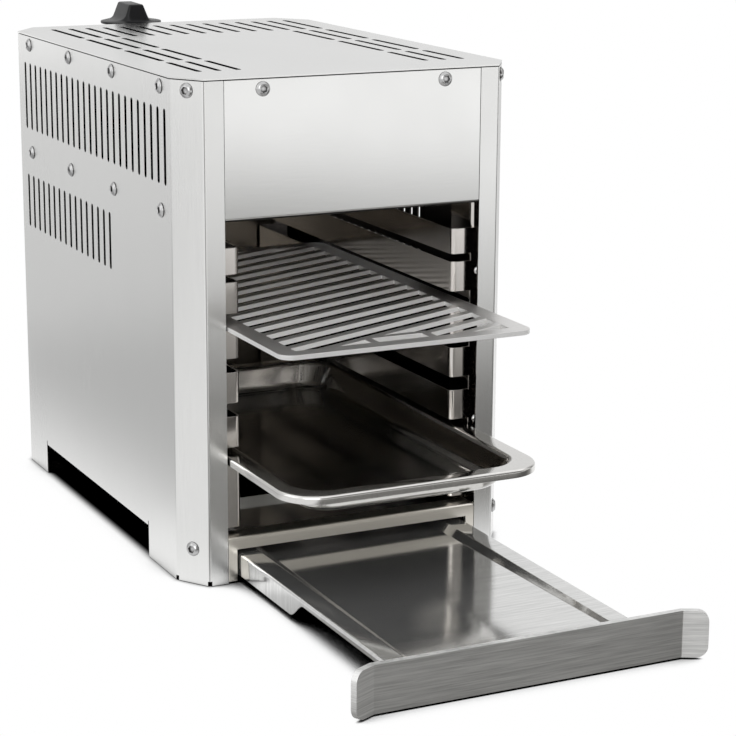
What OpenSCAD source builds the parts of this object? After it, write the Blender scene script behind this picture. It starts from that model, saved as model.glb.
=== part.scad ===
// Gas steak grill with rack, grate, tray and drip drawer. Millimetres, +Z up, front faces -Y.
// The origin is on the floor, at the middle of the whole length with the drawer pulled out.

/* [Tray] */
// Outer width of the tray rim
tray_w = 176; // [174:1:178]
// Outer length of the tray rim
tray_l = 325; // [321:1:329]
// Tray depth from rim top to floor underside
tray_depth = 18; // [16:1:26]
// Width of the tray rim up to the tray wall
tray_rim = 13.6; // [13:0.2:15]
// Sideways run of the sloping tray wall
tray_slope = 8; // [5:0.5:10]
// Gap between tray wall and rack wall
tray_gap = 0.6; // [0.4:0.1:1]
// Thickness of the tray sheet
tray_t = 1; // [0.8:0.1:1.4]
// Height of the turned-down rim edge
tray_roll = 5.2; // [4.5:0.1:6]
// Outer corner radius of the tray rim
tray_r = 26; // [25:1:30]
// Distance the tray stands out of the front
tray_out = 100; // [85:1:105]

/* [Grate] */
// Gap between grate edge and tray width on each side
grate_side = 2.5; // [1:0.5:6]
// Grate length
grate_l = 318; // [312:1:322]
// Grate plate thickness
grate_t = 3; // [2.5:0.5:4]
// Solid border in front of and behind the bars
grate_border = 10.9; // [10:0.1:12]
// Solid border beside the bars
grate_edge = 12.7; // [12:0.1:14]
// Corner radius of the grate
grate_r = 9; // [6:0.5:10]
// Width of a bar
bar_w = 6; // [5:0.1:8]
// Distance from bar to bar
bar_pitch = 17.3; // [16:0.1:19]
// Angle of the bars from the width direction
bar_angle = 22.5; // [18:0.5:28]
// Shift of the bar pattern along the grate
bar_shift = 7.1; // [-8:0.1:8]
// Share of the sideways play that the grate has moved to the right
grate_lean = -0.8; // [-1:0.1:1]
// Width of the lifting hole
lift_w = 34; // [30:1:38]
// Depth of the lifting hole
lift_d = 10; // [9:0.5:11]
// Solid frame around the lifting hole
lift_frame = 5.5; // [5:0.5:7]
// Distance the grate stands out of the front
grate_out = 85.5; // [75:0.5:90]

/* [Rack] */
// Height of the lowest slot floor above the ground
slot_z = 78; // [77:0.5:80]
// Distance from slot to slot
slot_pitch = 29; // [28.5:0.1:30]
// Height of a slot
slot_h = 9; // [8.5:0.1:10]
// Height of the top slot
top_slot_h = 5; // [4.8:0.1:6]
// Gap between tray rim and slot end
slot_gap = 0.8; // [0.5:0.1:1.2]
// Setback of the rack flange from the front plane
rack_set = 10.5; // [9.5:0.5:12]
// Outer radius of the rack bends
rack_bend = 4; // [3.5:0.5:5]
// Gap between post and chamfer bend
rack_inset = 0.2; // [0.1:0.1:1]
// Rack length behind the pushed-in tray
rack_rear = 7; // [5:1:9]
// Distance from opening edge to post
post_set = 1; // [0.8:0.1:1.4]
// Depth of a post
post_depth = 28; // [24:1:32]
// Rack height above the top slot
rack_head = 17; // [16:0.5:18]
// Gap between rack top and fascia
fascia_gap = 18; // [17:0.5:20]

/* [Body] */
// Sheet thickness of the body
sheet_t = 1.5; // [1.3:0.1:1.7]
// Gap between tray rim and front strip
open_gap = 1; // [0.8:0.1:1.5]
// Width of a front strip
strip_w = 13; // [12:0.5:15]
// Front chamfer across the width
front_chamfer_x = 14; // [13:0.5:16]
// Front chamfer along the depth
front_chamfer_y = 21.5; // [20:0.5:23]
// Rear chamfer across the width
rear_chamfer_x = 19; // [18:0.5:20]
// Rear chamfer along the depth
rear_chamfer_y = 24; // [23:0.5:25]
// Width of a rear strip
rear_strip_w = 17; // [15:1:19]
// Depth of the body behind the pushed-in tray
rear_space = 25; // [24:0.5:28]
// Height of the fascia
fascia_h = 87.5; // [84:0.5:92]
// Depth of the folded lower fascia edge
fascia_fold = 12; // [8:1:16]
// Height of the foot cut-out
foot_h = 21.7; // [18:0.1:22]
// Length of a front foot along the side
front_foot = 72; // [66:1:78]
// Length of a rear foot along the side
rear_foot = 64; // [58:1:70]
// Width of the folded foot flange
foot_flange = 14; // [10:1:18]
// Size of a bend relief notch
relief = 3; // [2:0.5:4]
// Width of a bend relief slit
relief_slit = 1.2; // [1:0.1:1.6]
// Distance from foot cut-out to front foot flange
front_flange_set = 18; // [16:1:20]
// Distance from foot cut-out to rear foot flange
rear_flange_set = 2; // [1:0.5:4]
// Length of the rear foot flange
rear_flange_l = 20; // [16:1:24]
// Height of the lid flanges
lid_flange = 15; // [13:0.5:17]
// Free length at the ends of inner flanges
flange_trim = 3; // [2.5:0.5:3.5]

/* [Vents] */
// Width of a side vent slot
vent_w = 4; // [3:0.5:5]
// Distance from rear bend to the last side vent
vent_edge = 16; // [14:1:18]
// Distance from front bend to the first side vent
vent_front = 8.9; // [8:0.1:16]
// Number of upper side vents
vent_upper_n = 25; // [21:1:25]
// Number of lower side vents
vent_lower_n = 16; // [12:1:18]
// Length of an upper side vent
vent_upper_l = 48; // [40:1:52]
// Length of a lower side vent
vent_lower_l = 38.5; // [32:0.5:44]
// Distance from lid top down to the upper vents
vent_upper_drop = 20.5; // [18:0.5:22]
// Distance from lid top down to the lower vents
vent_lower_drop = 102; // [98:1:106]
// Width of a lid slot
lid_slot_w = 4; // [3:0.5:5]
// Distance from lid slot to lid slot
lid_slot_pitch = 13.2; // [12:0.1:13.5]
// Number of slots in the rear lid row
lid_slot_n = 15; // [13:1:15]
// Distance from rear edge to the last lid slots
lid_slot_rear = 22; // [20:1:26]
// Length of a front lid slot
lid_slot_front_l = 56; // [48:1:58]
// Solid web between lid slot rows
lid_slot_web = 9; // [7:0.5:11]
// Distance from front edge to the first lid slots
lid_slot_edge = 38; // [34:1:42]
// Sideways shift of the lid slot field
lid_slot_shift = 3.4; // [0:0.2:4]

/* [Drawer] */
// Height of the drawer frame
frame_h = 30.5; // [29:0.5:31]
// Height of the frame top bar
frame_bar = 8.5; // [7.5:0.5:9.5]
// Width of a frame leg
frame_leg = 6; // [5:0.5:7]
// Ground gap under the drawer frame
frame_z = 1; // [0.8:0.1:2]
// Height of the frame ears above the ground
ear_z = 8; // [6:0.5:9]
// Depth of the folded frame top
frame_fold = 14; // [10:1:15]
// Length of the drawer pan
drawer_l = 340; // [330:1:342]
// Distance the drawer stands out of the front
drawer_out = 230; // [210:1:250]
// Sheet thickness of the drawer
drawer_t = 1.2; // [1:0.1:1.5]
// Side gap between drawer and frame leg
drawer_gap = 1.2; // [0.8:0.1:1.6]
// Gap between drawer flange and frame bar
drawer_head = 2.5; // [1.5:0.5:3.5]
// Width of a drawer flange
drawer_flange = 13.5; // [12:0.5:15]
// Height of the tall drawer lips
lip_h = 9.2; // [8:0.1:9.6]
// Height of the short drawer lips
lip_short = 4; // [3:0.5:6]
// Length of the short drawer lips
lip_step = 146; // [130:1:160]
// Pan depth at the rear
pan_rear = 9; // [7:0.5:10]
// Pan depth at the front
pan_front = 4.5; // [3.5:0.5:5.5]
// Height of the pan front plate
pan_plate = 15; // [14:0.5:16]
// Width of a runner ledge
ledge_w = 12; // [10:0.5:13]
// Height of the runner shelf above the frame
shelf_rise = 3; // [2:0.5:4]

/* [Handle] */
// Half width of the straight handle part
handle_half = 100; // [94:1:104]
// Handle height
handle_h = 29; // [26:1:31]
// Handle thickness
handle_t = 4; // [3:0.5:5]
// Ground gap under the handle
handle_z = 1; // [0.8:0.1:1.5]
// Width of a bent handle end
wing_x = 14; // [11:0.5:16]
// Forward reach of a bent handle end
wing_y = 7; // [5:0.5:9]
// Corner radius of the handle ends
wing_r = 7; // [5:0.5:9]
// Thread diameter of the handle screws
handle_screw_d = 4; // [3:0.5:4]
// Head diameter of the handle screws
handle_head_d = 7; // [6:0.5:7.5]
// Head height of the handle screws
handle_head_h = 2.2; // [1.8:0.1:2.4]
// Hex socket width of the handle screws
handle_socket = 2.5; // [2:0.5:2.5]
// Handle sheet left in front of the screws
handle_skin = 1.2; // [1:0.1:1.4]
// Half distance between the handle screws
handle_screw_x = 54; // [48:1:58]
// Drop of the handle screws below the pan floor
handle_screw_drop = 5; // [4.5:0.1:5.5]

/* [Burner] */
// Distance from front plane to burner
burner_front = 62; // [58:1:70]
// Distance from burner to body rear
burner_rear = 64; // [60:1:72]
// Half width of the burner housing
burner_half = 72; // [68:1:72]
// Height of the burner housing
burner_h = 44; // [40:1:48]
// Width of the burner side flange
burner_flange = 22; // [20:1:24]
// Thickness of a ceramic tile
tile_t = 13; // [11:1:15]
// Gap around and between tiles
tile_gap = 1; // [0.8:0.1:1.5]
// Outer diameter of the mixing tube
tube_d = 24; // [22:1:26]
// Outer diameter of the mixing tube mouth
mouth_d = 30; // [28:1:32]
// Wall of the mixing tube
tube_wall = 1.5; // [1.2:0.1:2]
// Gap between tiles and mixing tube
tube_gap = 0.5; // [0.3:0.1:1]
// Outer diameter of the gas pipe
pipe_d = 8; // [7:0.5:9]
// Wall of the burner housing
burner_wall = 1.2; // [1:0.1:1.5]
// Width of the lip that holds the tiles
burner_lip = 5; // [4:0.5:6]
// Drop of the burner brackets below the fascia edge
burner_drop = 8; // [6:0.5:9]
// Gap between burner housing and bracket edge
bracket_gap = 4; // [3:0.5:5]
// Height of the burner brackets above the screw row
bracket_head = 10; // [8:0.5:12]
// Length of the mixing tube inside the housing
tube_entry = 4; // [3:0.5:5]
// Length of the mixing tube mouth
mouth_l = 12; // [10:1:14]
// Air gap between mixing tube and jet
jet_air = 3; // [2:0.5:4]
// Reach of the jet in front of the rear panel
jet_reach = 13; // [12:0.5:15]
// Tip diameter of the jet
jet_d = 5; // [4:0.5:6]
// Length of the jet cone
jet_cone = 5; // [4:0.5:6]
// Hole of the jet
jet_hole = 1.2; // [1:0.1:1.5]
// Bore of the jet
jet_bore = 4; // [3:0.5:5]
// Length of the jet hole
jet_hole_l = 7; // [6:0.5:8]
// Width across the flats of the jet
jet_hex = 12; // [11:0.5:14]
// Wall of the jet socket around the gas pipe
jet_wall = 0.5; // [0.4:0.1:0.8]
// Length of the jet behind the body
jet_tail = 2; // [1:0.5:3]

/* [Ignition] */
// Diameter of the thermocouple
probe_d = 3; // [2.5:0.5:3.5]
// Distance from valve to thermocouple
probe_side = 14; // [12:1:16]
// Distance from burner to the thermocouple drop
probe_back = 22; // [20:1:24]
// Drop of the probe tips below the burner
probe_drop = 5; // [4:0.5:6]
// Reach of the probe tips under the burner
probe_reach = 12; // [10:1:14]
// Diameter of the electrode ceramic
ceramic_d = 6; // [5:0.5:7]
// Length of the electrode ceramic
ceramic_l = 24; // [22:1:26]
// Height of the electrode ceramic above the burner flange
ceramic_rise = 4; // [3:0.5:5]
// Gap between burner and electrode ceramic
ceramic_gap = 1.5; // [1.2:0.1:2]
// Diameter of the electrode wire
electrode_d = 1.8; // [1.5:0.1:2.2]
// Half width of the electrode clip
clip_half = 9; // [8:0.5:10]
// Height of the electrode clip
clip_h = 10; // [8:0.5:12]
// Height of the electrode clip above the ceramic foot
clip_rise = 6; // [5:0.5:8]
// Reach of the electrode clip past the ceramic axis
clip_reach = 1; // [0.5:0.1:1.5]
// Diameter of the ignition lead
lead_d = 3; // [2.5:0.5:3.5]
// Distance from gas inlet end to ignition lead
lead_gap = 3; // [2.5:0.5:4]
// Height of the ignition lead above the valve foot
lead_rise = 21; // [20:0.5:22]
// Start of the ignition lead beside the knob axis
lead_start = 10; // [9:0.5:11]

/* [Valve] */
// Sideways position of the knob axis
knob_x = -11; // [-14:1:-8]
// Distance from body rear to knob axis
knob_back = 25; // [24.5:0.5:28]
// Diameter of the knob skirt
knob_d = 46; // [42:1:46]
// Thickness of the knob skirt
knob_skirt = 2.5; // [2:0.5:4]
// Height of the knob grip above the skirt
knob_grip = 12.5; // [11:0.5:15]
// Width of the knob grip at its top
grip_top = 12; // [11:0.5:14]
// Width of the knob grip at its foot
grip_foot = 18; // [16:0.5:20]
// Length of the knob grip
grip_l = 36; // [32:1:38]
// Angle of the knob grip
grip_angle = -4; // [-30:1:30]
// Taper of the grip ends
grip_taper = 4; // [3:0.5:5]
// Thickness of the grip above the stem
grip_cap = 5; // [4:0.5:6]
// Drop of the knob skirt below the lid top
knob_sink = 2; // [1:0.5:3]
// Gap under the pressed knob
knob_gap = 1; // [0.8:0.1:1.5]
// Travel of the pressed knob
press = 3.5; // [3:0.1:3.6]
// Diameter of the valve body
valve_d = 30; // [28:1:32]
// Height of the valve body
valve_h = 27; // [26:1:30]
// Diameter of the valve neck
neck_d = 14; // [13:0.5:15]
// Height of the valve neck above its bracket
neck_h = 4.5; // [4:0.5:6]
// Free thread above the valve nut
neck_free = 0.5; // [0.3:0.1:1]
// Width of the valve nut around the neck
neck_nut = 3; // [2.5:0.5:4]
// Diameter of the valve plug
plug_d = 9; // [8.5:0.5:9.5]
// Depth of the plug top in the neck
plug_sink = 1; // [0.5:0.1:1.5]
// Floor of the valve under the plug
plug_floor = 5; // [4:0.5:6]
// Height of the stem end above the plug foot
stem_foot = 12; // [10:0.5:13]
// Free depth under the pressed stem
stem_free = 0.5; // [0.3:0.1:1]
// Diameter of the valve stem
stem_d = 6; // [5.5:0.5:6.5]
// Depth of the flat on the stem
stem_cut = 1; // [0.8:0.1:1.2]
// Width of the valve bracket
bracket_w = 40; // [38:1:42]
// Thickness of the valve bracket
bracket_t = 2; // [1.6:0.1:2.5]
// Bracket shelf in front of the valve
bracket_lip = 4; // [3:0.5:5]
// Distance from bracket edge to its screws
bracket_edge = 6; // [5:0.5:7]
// Height of the bracket screws above the valve foot
bracket_screw_rise = 8; // [7:0.5:9]
// Length of the bracket screws
bracket_screw_l = 6; // [5:0.5:7]
// Thread diameter of the gas inlet
inlet_d = 13.16; // [13.1:0.02:13.2]
// Thread length of the gas inlet
inlet_l = 14; // [12:1:16]
// Width across the flats of the inlet nut
inlet_hex = 17; // [16:0.5:19]
// Length of the inlet nut outside the valve
inlet_neck = 9; // [8:0.5:10]
// Bore of the gas inlet
inlet_bore = 6; // [5:0.5:7]
// Height of the gas inlet above the valve foot
inlet_rise = 10; // [9:0.5:12]

/* [Screws] */
// Panel screw thread diameter
screw_d = 5; // [4:0.5:5]
// Panel screw head diameter
head_d = 9.5; // [9:0.1:10]
// Panel screw head height
head_h = 2.75; // [2.5:0.05:3]
// Hex socket width
socket = 3; // [2.5:0.5:3.5]
// Panel screw length
screw_l = 10; // [8:0.5:11]
// Nut width across flats
nut_af = 8; // [8:0.1:9]
// Nut height
nut_h = 4; // [3.5:0.1:4.2]
// Distance from front plane to the first side screws
row_front = 38.6; // [38:0.2:41]
// Distance from rear bend to the last side screws
row_rear = 26.4; // [24:0.2:30]
// Distance from lid top to the upper screw row
row_upper_drop = 7.6; // [7:0.1:8.4]
// Distance from lid top to the lower screw row
row_lower_drop = 85; // [84:0.5:86]
// Height of the lower chamfer screws
chamfer_screw_z = 23; // [21:0.5:24]
// Half distance between the fascia screws
fascia_screw_x = 63; // [58:1:68]
// Small screw thread diameter
small_d = 3; // [2.5:0.5:3]
// Small screw head diameter
small_head_d = 6; // [5.5:0.1:6.2]
// Small screw head height
small_head_h = 1.8; // [1.5:0.1:2]
// Small screw socket width
small_socket = 2; // [1.5:0.5:2.5]
// Small nut width across flats
small_nut_af = 5.5; // [5:0.1:6]
// Small nut height
small_nut_h = 2.4; // [2:0.1:2.6]
// Rack screw length
rack_screw_l = 7; // [6:0.5:8]
// Gap between small nut and post
small_nut_gap = 0.3; // [0.2:0.1:0.8]
// Drop of the lower rack screws below the slot top
rack_screw_lower = 1; // [0.5:0.1:2]
// Rise of the upper rack screws above the fourth slot
rack_screw_upper = 13; // [11:0.5:15]

/* [Clearance] */
// Gap between folded sheets that lie together
lap = 0.05; // [0.03:0.01:0.1]
// Side gap between fascia or frame and the strips
seam = 0.3; // [0.2:0.05:0.5]
// Gap between sliding pieces
run_gap = 0.3; // [0.3:0.05:0.5]
// Radial gap of turning and sliding shafts
shaft_gap = 0.05; // [0.03:0.01:0.08]
// Gap between the ends of neighbouring sheets
edge_gap = 2; // [1.5:0.1:2.5]
// Radial gap of a screw in its hole
hole_gap = 0.2; // [0.15:0.05:0.3]

/* [Hidden] */
$fn = 48;

steel = [0.78, 0.78, 0.77];
dark_steel = [0.45, 0.44, 0.42];
brass = [0.72, 0.58, 0.30];
black = [0.05, 0.05, 0.05];
white = [0.88, 0.86, 0.82];
copper = [0.70, 0.42, 0.28];
eps = 0.01;
far = 400;

open_half = tray_w / 2 + open_gap;
hx = open_half + strip_w + front_chamfer_x;
body_d = tray_l + rear_space;
front_reach = drawer_out + lap + handle_t + wing_y;
rear_reach = knob_back + knob_d / 2;
y_rear = (body_d + front_reach - rear_reach) / 2;
y_front = y_rear - body_d;
rack_top = slot_z + 4 * slot_pitch + top_slot_h + rack_head;
fascia_z = rack_top + fascia_gap;
body_h = fascia_z + fascia_h + sheet_t;
under_lid = body_h - sheet_t;

// Patterns that follow the depth of the body
side_l = body_d - front_chamfer_y - rear_chamfer_y;
row_pitch = (body_d - row_front - rear_chamfer_y - row_rear) / 3;
vent_pitch = (side_l - vent_front - vent_edge) / (vent_upper_n - 1);
lid_slot_l = (body_d - lid_slot_edge - lid_slot_front_l - 3 * lid_slot_web - lid_slot_rear) / 3;

// Plan lines of the folded sheets
side_line = [
    [-open_half, y_front],
    [-hx + front_chamfer_x, y_front],
    [-hx, y_front + front_chamfer_y],
    [-hx, y_rear - rear_chamfer_y],
    [-hx + rear_chamfer_x, y_rear],
    [-hx + rear_chamfer_x + rear_strip_w, y_rear]
];
left_inner = -hx + sheet_t + lap;
stack = 2 * sheet_t + lap;

// Rack and posts
rack_in = tray_w / 2 - tray_rim + tray_gap;
grate_w = tray_w - 2 * grate_side;
slot_half = tray_w / 2 + slot_gap;
grate_x = grate_lean * (slot_half - grate_w / 2 - run_gap);
rack_out = -mitre(side_line, 1, -sheet_t - lap)[0] - sheet_t - rack_inset;
rack_y0 = y_front + rack_set;
rack_y1 = y_front + tray_l + rack_rear;
shelf_z = frame_h + shelf_rise;
post_y = rack_y0 + sheet_t + lap;
post_x = open_half + post_set;
rack_screw_x = post_x + sheet_t + small_nut_gap + small_nut_af / 2;
rack_screw_z = [slot_z + slot_h - rack_screw_lower, slot_z + 3 * slot_pitch + slot_h + rack_screw_upper];

// Drawer
mouth_half = open_half - seam - frame_leg;
mouth_top = frame_h - frame_bar;
drawer_half = mouth_half - drawer_gap;
drawer_top = mouth_top - drawer_head;
pan_half = drawer_half - drawer_flange;
pan_y0 = y_front - drawer_out;
pan_y1 = pan_y0 + drawer_l;
ledge_top = drawer_top - lip_h - run_gap;
ledge_out = open_half;
handle_screw_z = drawer_top - pan_front - drawer_t - handle_screw_drop;
handle_screw_l = drawer_t + handle_t - handle_skin;

// Burner and gas line
bracket_z = fascia_z - burner_drop;
burner_z = bracket_z + sheet_t + lap;
burner_y0 = y_front + burner_front;
burner_y1 = y_rear - burner_rear;
tile_z = burner_z + burner_wall + lap;
tube_z = tile_z + tile_t + tube_gap + tube_d / 2;
panel_y = y_rear - sheet_t - lap;
panel_in = panel_y - sheet_t;
jet_tip = panel_in - jet_reach;
tube_end = jet_tip - jet_air;
socket_d = pipe_d + 2 * jet_wall;
jet_end = y_rear + jet_tail;

// Valve
knob_y = y_rear + knob_back;
knob_z = body_h - knob_sink;
neck_top = knob_z - press - knob_gap;
shelf_top = neck_top - neck_h;
valve_top = shelf_top - bracket_t;
valve_z = valve_top - valve_h;
nut_top = neck_top - neck_free;
plug_top = neck_top - plug_sink;
plug_z = valve_z + plug_floor;
stem_z = plug_z + stem_foot;
grip_z = knob_z + knob_skirt + knob_grip;
stem_top = grip_z - grip_cap;
inlet_z = valve_z + inlet_rise;
inlet_x = valve_d / 2 + inlet_neck;
bracket_y = y_rear - sheet_t;
probe_x = knob_x - valve_d / 2 - probe_side;
lead_x = knob_x + inlet_x + inlet_l + lead_gap;
lead_z = valve_z + lead_rise;
lead_y = knob_y + valve_d / 2 - lead_d / 3;
probe_y = burner_y1 + probe_back;
probe_z = burner_z - probe_drop;
electrode_y = burner_y1 + ceramic_d / 2 + ceramic_gap;
ceramic_z = burner_z + ceramic_rise;

// Fixed heights of the moving pieces
tray_z = slot_z + run_gap + tray_roll;
tray_y = y_front - tray_out;
grate_z = slot_z + 3 * slot_pitch + run_gap;
grate_y = y_front - grate_out;

// Unit direction from one plan point to another
function dir2(a, b) = (b - a) / norm(b - a);

// Left normal of a plan direction
function left2(d) = [-d[1], d[0]];

// Corner of a line moved to its left by t
function mitre(p, i, t) =
    i == 0 ? p[0] + t * left2(dir2(p[0], p[1])) :
    i == len(p) - 1 ? p[i] + t * left2(dir2(p[i - 1], p[i])) :
    let (a = left2(dir2(p[i - 1], p[i])), b = left2(dir2(p[i], p[i + 1])))
    p[i] + t * (a + b) / (1 + a * b);

// Closed outline of a sheet of thickness t along a plan line
function band(p, t) = concat(p, [for (i = [len(p) - 1 : -1 : 0]) mitre(p, i, t)]);

// Sheet along a plan line, t to its left
module fold(p, t, z0, z1) {
    translate([0, 0, z0])
        linear_extrude(z1 - z0)
            polygon(band(p, t));
}

// Box between two corners
module box(a, b) {
    translate(a)
        cube(b - a);
}

// Round rod along a list of points
module rod(p, d) {
    for (i = [0 : len(p) - 2]) {
        v = p[i + 1] - p[i];
        translate(p[i])
            rotate([0, acos(v[2] / norm(v)), atan2(v[1], v[0])])
                cylinder(d = d, h = norm(v));
    }
    for (i = [1 : 1 : len(p) - 2])
        translate(p[i])
            sphere(d = d);
}

// Flat slot with round ends, long side along Y
module slot2(l, w) {
    square([w, l - w], center = true);
    translate([0, (l - w) / 2])
        circle(d = w);
    translate([0, (w - l) / 2])
        circle(d = w);
}

// Flat rectangle with round corners, between two corners
module round2(x0, y0, x1, y1, r) {
    translate([x0 + r, y0])
        square([x1 - x0 - 2 * r, y1 - y0]);
    translate([x0, y0 + r])
        square([x1 - x0, y1 - y0 - 2 * r]);
    for (x = [x0 + r, x1 - r])
        for (y = [y0 + r, y1 - r])
            translate([x, y])
                circle(r = r);
}

// Both sides of the body from a left-hand piece
module pair() {
    children();
    mirror([1, 0, 0])
        children();
}

// Button head screw: seat at the origin, head up
module button_screw(d, hd, hh, l, s) {
    r = (hd * hd / 4 + hh * hh) / (2 * hh);
    difference() {
        union() {
            intersection() {
                translate([0, 0, hh - r])
                    sphere(r = r);
                cylinder(d = hd, h = hh);
            }
            translate([0, 0, -l])
                cylinder(d = d, h = l + eps);
        }
        translate([0, 0, 0.45 * hh])
            cylinder(d = s / cos(30), h = hh, $fn = 6);
    }
}

// Hex nut hanging below the origin
module hex_nut(d, af, h) {
    translate([0, 0, -h])
        difference() {
            cylinder(d = af / cos(30), h = h, $fn = 6);
            translate([0, 0, -eps])
                cylinder(d = d, h = h + 2 * eps);
        }
}

// Places of the panel screws, outward along +Z
module panel_screw_places() {
    for (z = [body_h - row_upper_drop, body_h - row_lower_drop])
        for (i = [0 : 3]) {
            y = y_front + row_front + i * row_pitch;
            translate([-hx, y, z])
                rotate([0, -90, 0])
                    children();
            translate([hx, y, z])
                rotate([0, 90, 0])
                    children();
        }
    for (z = [body_h - row_upper_drop, chamfer_screw_z])
        for (s = [-1, 1])
            translate([s * (hx - front_chamfer_x / 2), y_front + front_chamfer_y / 2, z])
                rotate([0, 90, atan2(-front_chamfer_x, s * front_chamfer_y)])
                    children();
    for (s = [-1, 1])
        translate([s * fascia_screw_x, y_front, body_h - row_upper_drop])
            rotate([90, 0, 0])
                children();
}

module panel_holes() {
    panel_screw_places()
        translate([0, 0, -2 * stack])
            cylinder(d = screw_d + 2 * hole_gap, h = 3 * stack);
}

// Places of the rack screws, outward along +Z
module rack_screw_places() {
    for (s = [-1, 1])
        for (z = rack_screw_z)
            translate([s * rack_screw_x, rack_y0, z])
                rotate([90, 0, 0])
                    children();
}

module rack_holes() {
    rack_screw_places()
        translate([0, 0, -2 * stack])
            cylinder(d = small_d + 2 * hole_gap, h = 3 * stack);
}

// Side panels
module side_vents() {
    last = y_rear - rear_chamfer_y - vent_edge;
    for (i = [0 : vent_upper_n - 1])
        translate([last - i * vent_pitch, body_h - vent_upper_drop - vent_upper_l / 2])
            slot2(vent_upper_l, vent_w);
    for (i = [0 : vent_lower_n - 1])
        translate([last - i * vent_pitch, body_h - vent_lower_drop - vent_lower_l / 2])
            slot2(vent_lower_l, vent_w);
}

module side_panel() {
    cut_y0 = y_front + front_foot;
    cut_y1 = y_rear - rear_foot;
    front_end = cut_y0 - front_flange_set;
    rear_end = cut_y1 + rear_flange_set + rear_flange_l;
    difference() {
        union() {
            fold(side_line, -sheet_t, 0, under_lid - lap);
            box([-hx + eps, front_end - foot_flange, 0], [-hx + foot_flange, front_end, sheet_t]);
            box([-hx + eps, rear_end - rear_flange_l, 0], [-hx + foot_flange, rear_end, sheet_t]);
        }
        translate([-hx - sheet_t, 0, 0])
            rotate([90, 0, 90])
                linear_extrude(3 * sheet_t)
                    side_vents();
        box([-hx - sheet_t, cut_y0, -sheet_t], [-hx + 2 * sheet_t, cut_y1, foot_h]);
        for (y = [cut_y0 + relief_slit / 2, cut_y1 - relief_slit / 2])
            translate([-hx, y, foot_h])
                cube([3 * sheet_t, relief_slit, 2 * relief], center = true);
        for (p = [[-hx, front_end + relief / 2], [-hx, rear_end + relief / 2], side_line[1], side_line[2]])
            translate([p[0], p[1], 0])
                cube([5 * sheet_t, relief, 2 * relief], center = true);
        panel_holes();
    }
}

module left_side_panel() {
    color(steel)
        side_panel();
}

module right_side_panel() {
    color(steel)
        mirror([1, 0, 0])
            side_panel();
}

// Lid
module lid_slots() {
    x0 = lid_slot_shift - (lid_slot_n - 1) * lid_slot_pitch / 2;
    y1 = lid_slot_edge + lid_slot_front_l + lid_slot_web;
    step = lid_slot_l + lid_slot_web;
    for (i = [0 : lid_slot_n - 1])
        translate([x0 + i * lid_slot_pitch, y1 + 2 * step + lid_slot_l / 2])
            slot2(lid_slot_l, lid_slot_w);
    for (i = [0, 1, 2, lid_slot_n - 3, lid_slot_n - 2, lid_slot_n - 1])
        translate([x0 + i * lid_slot_pitch, 0]) {
            translate([0, lid_slot_edge + lid_slot_front_l / 2])
                slot2(lid_slot_front_l, lid_slot_w);
            for (k = [0, 1])
                translate([0, y1 + k * step + lid_slot_l / 2])
                    slot2(lid_slot_l, lid_slot_w);
        }
}

module lid() {
    inner = [for (i = [0 : 3]) mitre(side_line, i, -sheet_t - lap)];
    along = dir2(inner[1], inner[2]);
    half = open_half - flange_trim;
    z0 = under_lid - lid_flange;
    left = [for (p = [1, 2, 3, 4]) side_line[p]];
    right = [for (p = [3, 2, 1, 0]) [-left[p][0], left[p][1]]];
    color(steel)
        difference() {
            union() {
                translate([0, 0, under_lid])
                    linear_extrude(sheet_t)
                        polygon(concat(left, right));
                pair() {
                    fold([inner[2] + [0, flange_trim], inner[3] - [0, flange_trim]], -sheet_t,
                        z0, under_lid + eps);
                    fold([inner[1] + flange_trim * along, inner[2] - flange_trim * along], -sheet_t,
                        z0, under_lid + eps);
                }
                box([-half, y_front + sheet_t + lap, z0], [half, y_front + stack, under_lid + eps]);
                box([-half, panel_in - lap - sheet_t, z0], [half, panel_in - lap, under_lid + eps]);
            }
            translate([0, y_front, under_lid - sheet_t])
                linear_extrude(3 * sheet_t)
                    lid_slots();
            panel_holes();
        }
}

// Rear panel
module rear_panel() {
    half = hx - rear_chamfer_x - edge_gap;
    color(steel)
        difference() {
            box([-half, panel_in, sheet_t + lap], [half, panel_y, under_lid - lap]);
            for (hole = [[knob_x, tube_z, socket_d], [probe_x, inlet_z, probe_d], [lead_x, lead_z, lead_d]])
                translate([hole[0], panel_in - sheet_t, hole[1]])
                    rotate([-90, 0, 0])
                        cylinder(d = hole[2] + 2 * hole_gap, h = 3 * sheet_t);
            bracket_screw_holes();
        }
}

// Front fascia
module front_fascia() {
    half = open_half - seam;
    color(steel)
        difference() {
            union() {
                box([-half, y_front, fascia_z], [half, y_front + sheet_t, under_lid - lap]);
                box([-half, y_front, fascia_z], [half, y_front + fascia_fold, fascia_z + sheet_t]);
            }
            panel_holes();
        }
}

// Drawer frame
module drawer_frame() {
    half = open_half - seam;
    ear = [for (i = [0 : 2]) mitre(side_line, i, -sheet_t - lap)];
    along = dir2(ear[1], ear[2]);
    color(steel)
        difference() {
            union() {
                box([-half, y_front, frame_z], [half, y_front + sheet_t, frame_h]);
                box([-half, y_front, frame_h - sheet_t], [half, y_front + frame_fold, frame_h]);
                pair() {
                    box([-half, y_front + sheet_t - eps, ear_z], [-mouth_half, y_front + stack, frame_h]);
                    fold([[-half + seam, ear[0][1]], ear[1], ear[2] - flange_trim * along],
                        -sheet_t, ear_z, frame_h);
                }
            }
            box([-mouth_half, y_front - sheet_t, frame_z - sheet_t],
                [mouth_half, y_front + 2 * stack, mouth_top]);
            panel_holes();
        }
}

// Racks
module rack_bend2() {
    intersection() {
        difference() {
            circle(r = rack_bend);
            circle(r = rack_bend - sheet_t);
        }
        square(rack_bend);
    }
}

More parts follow.
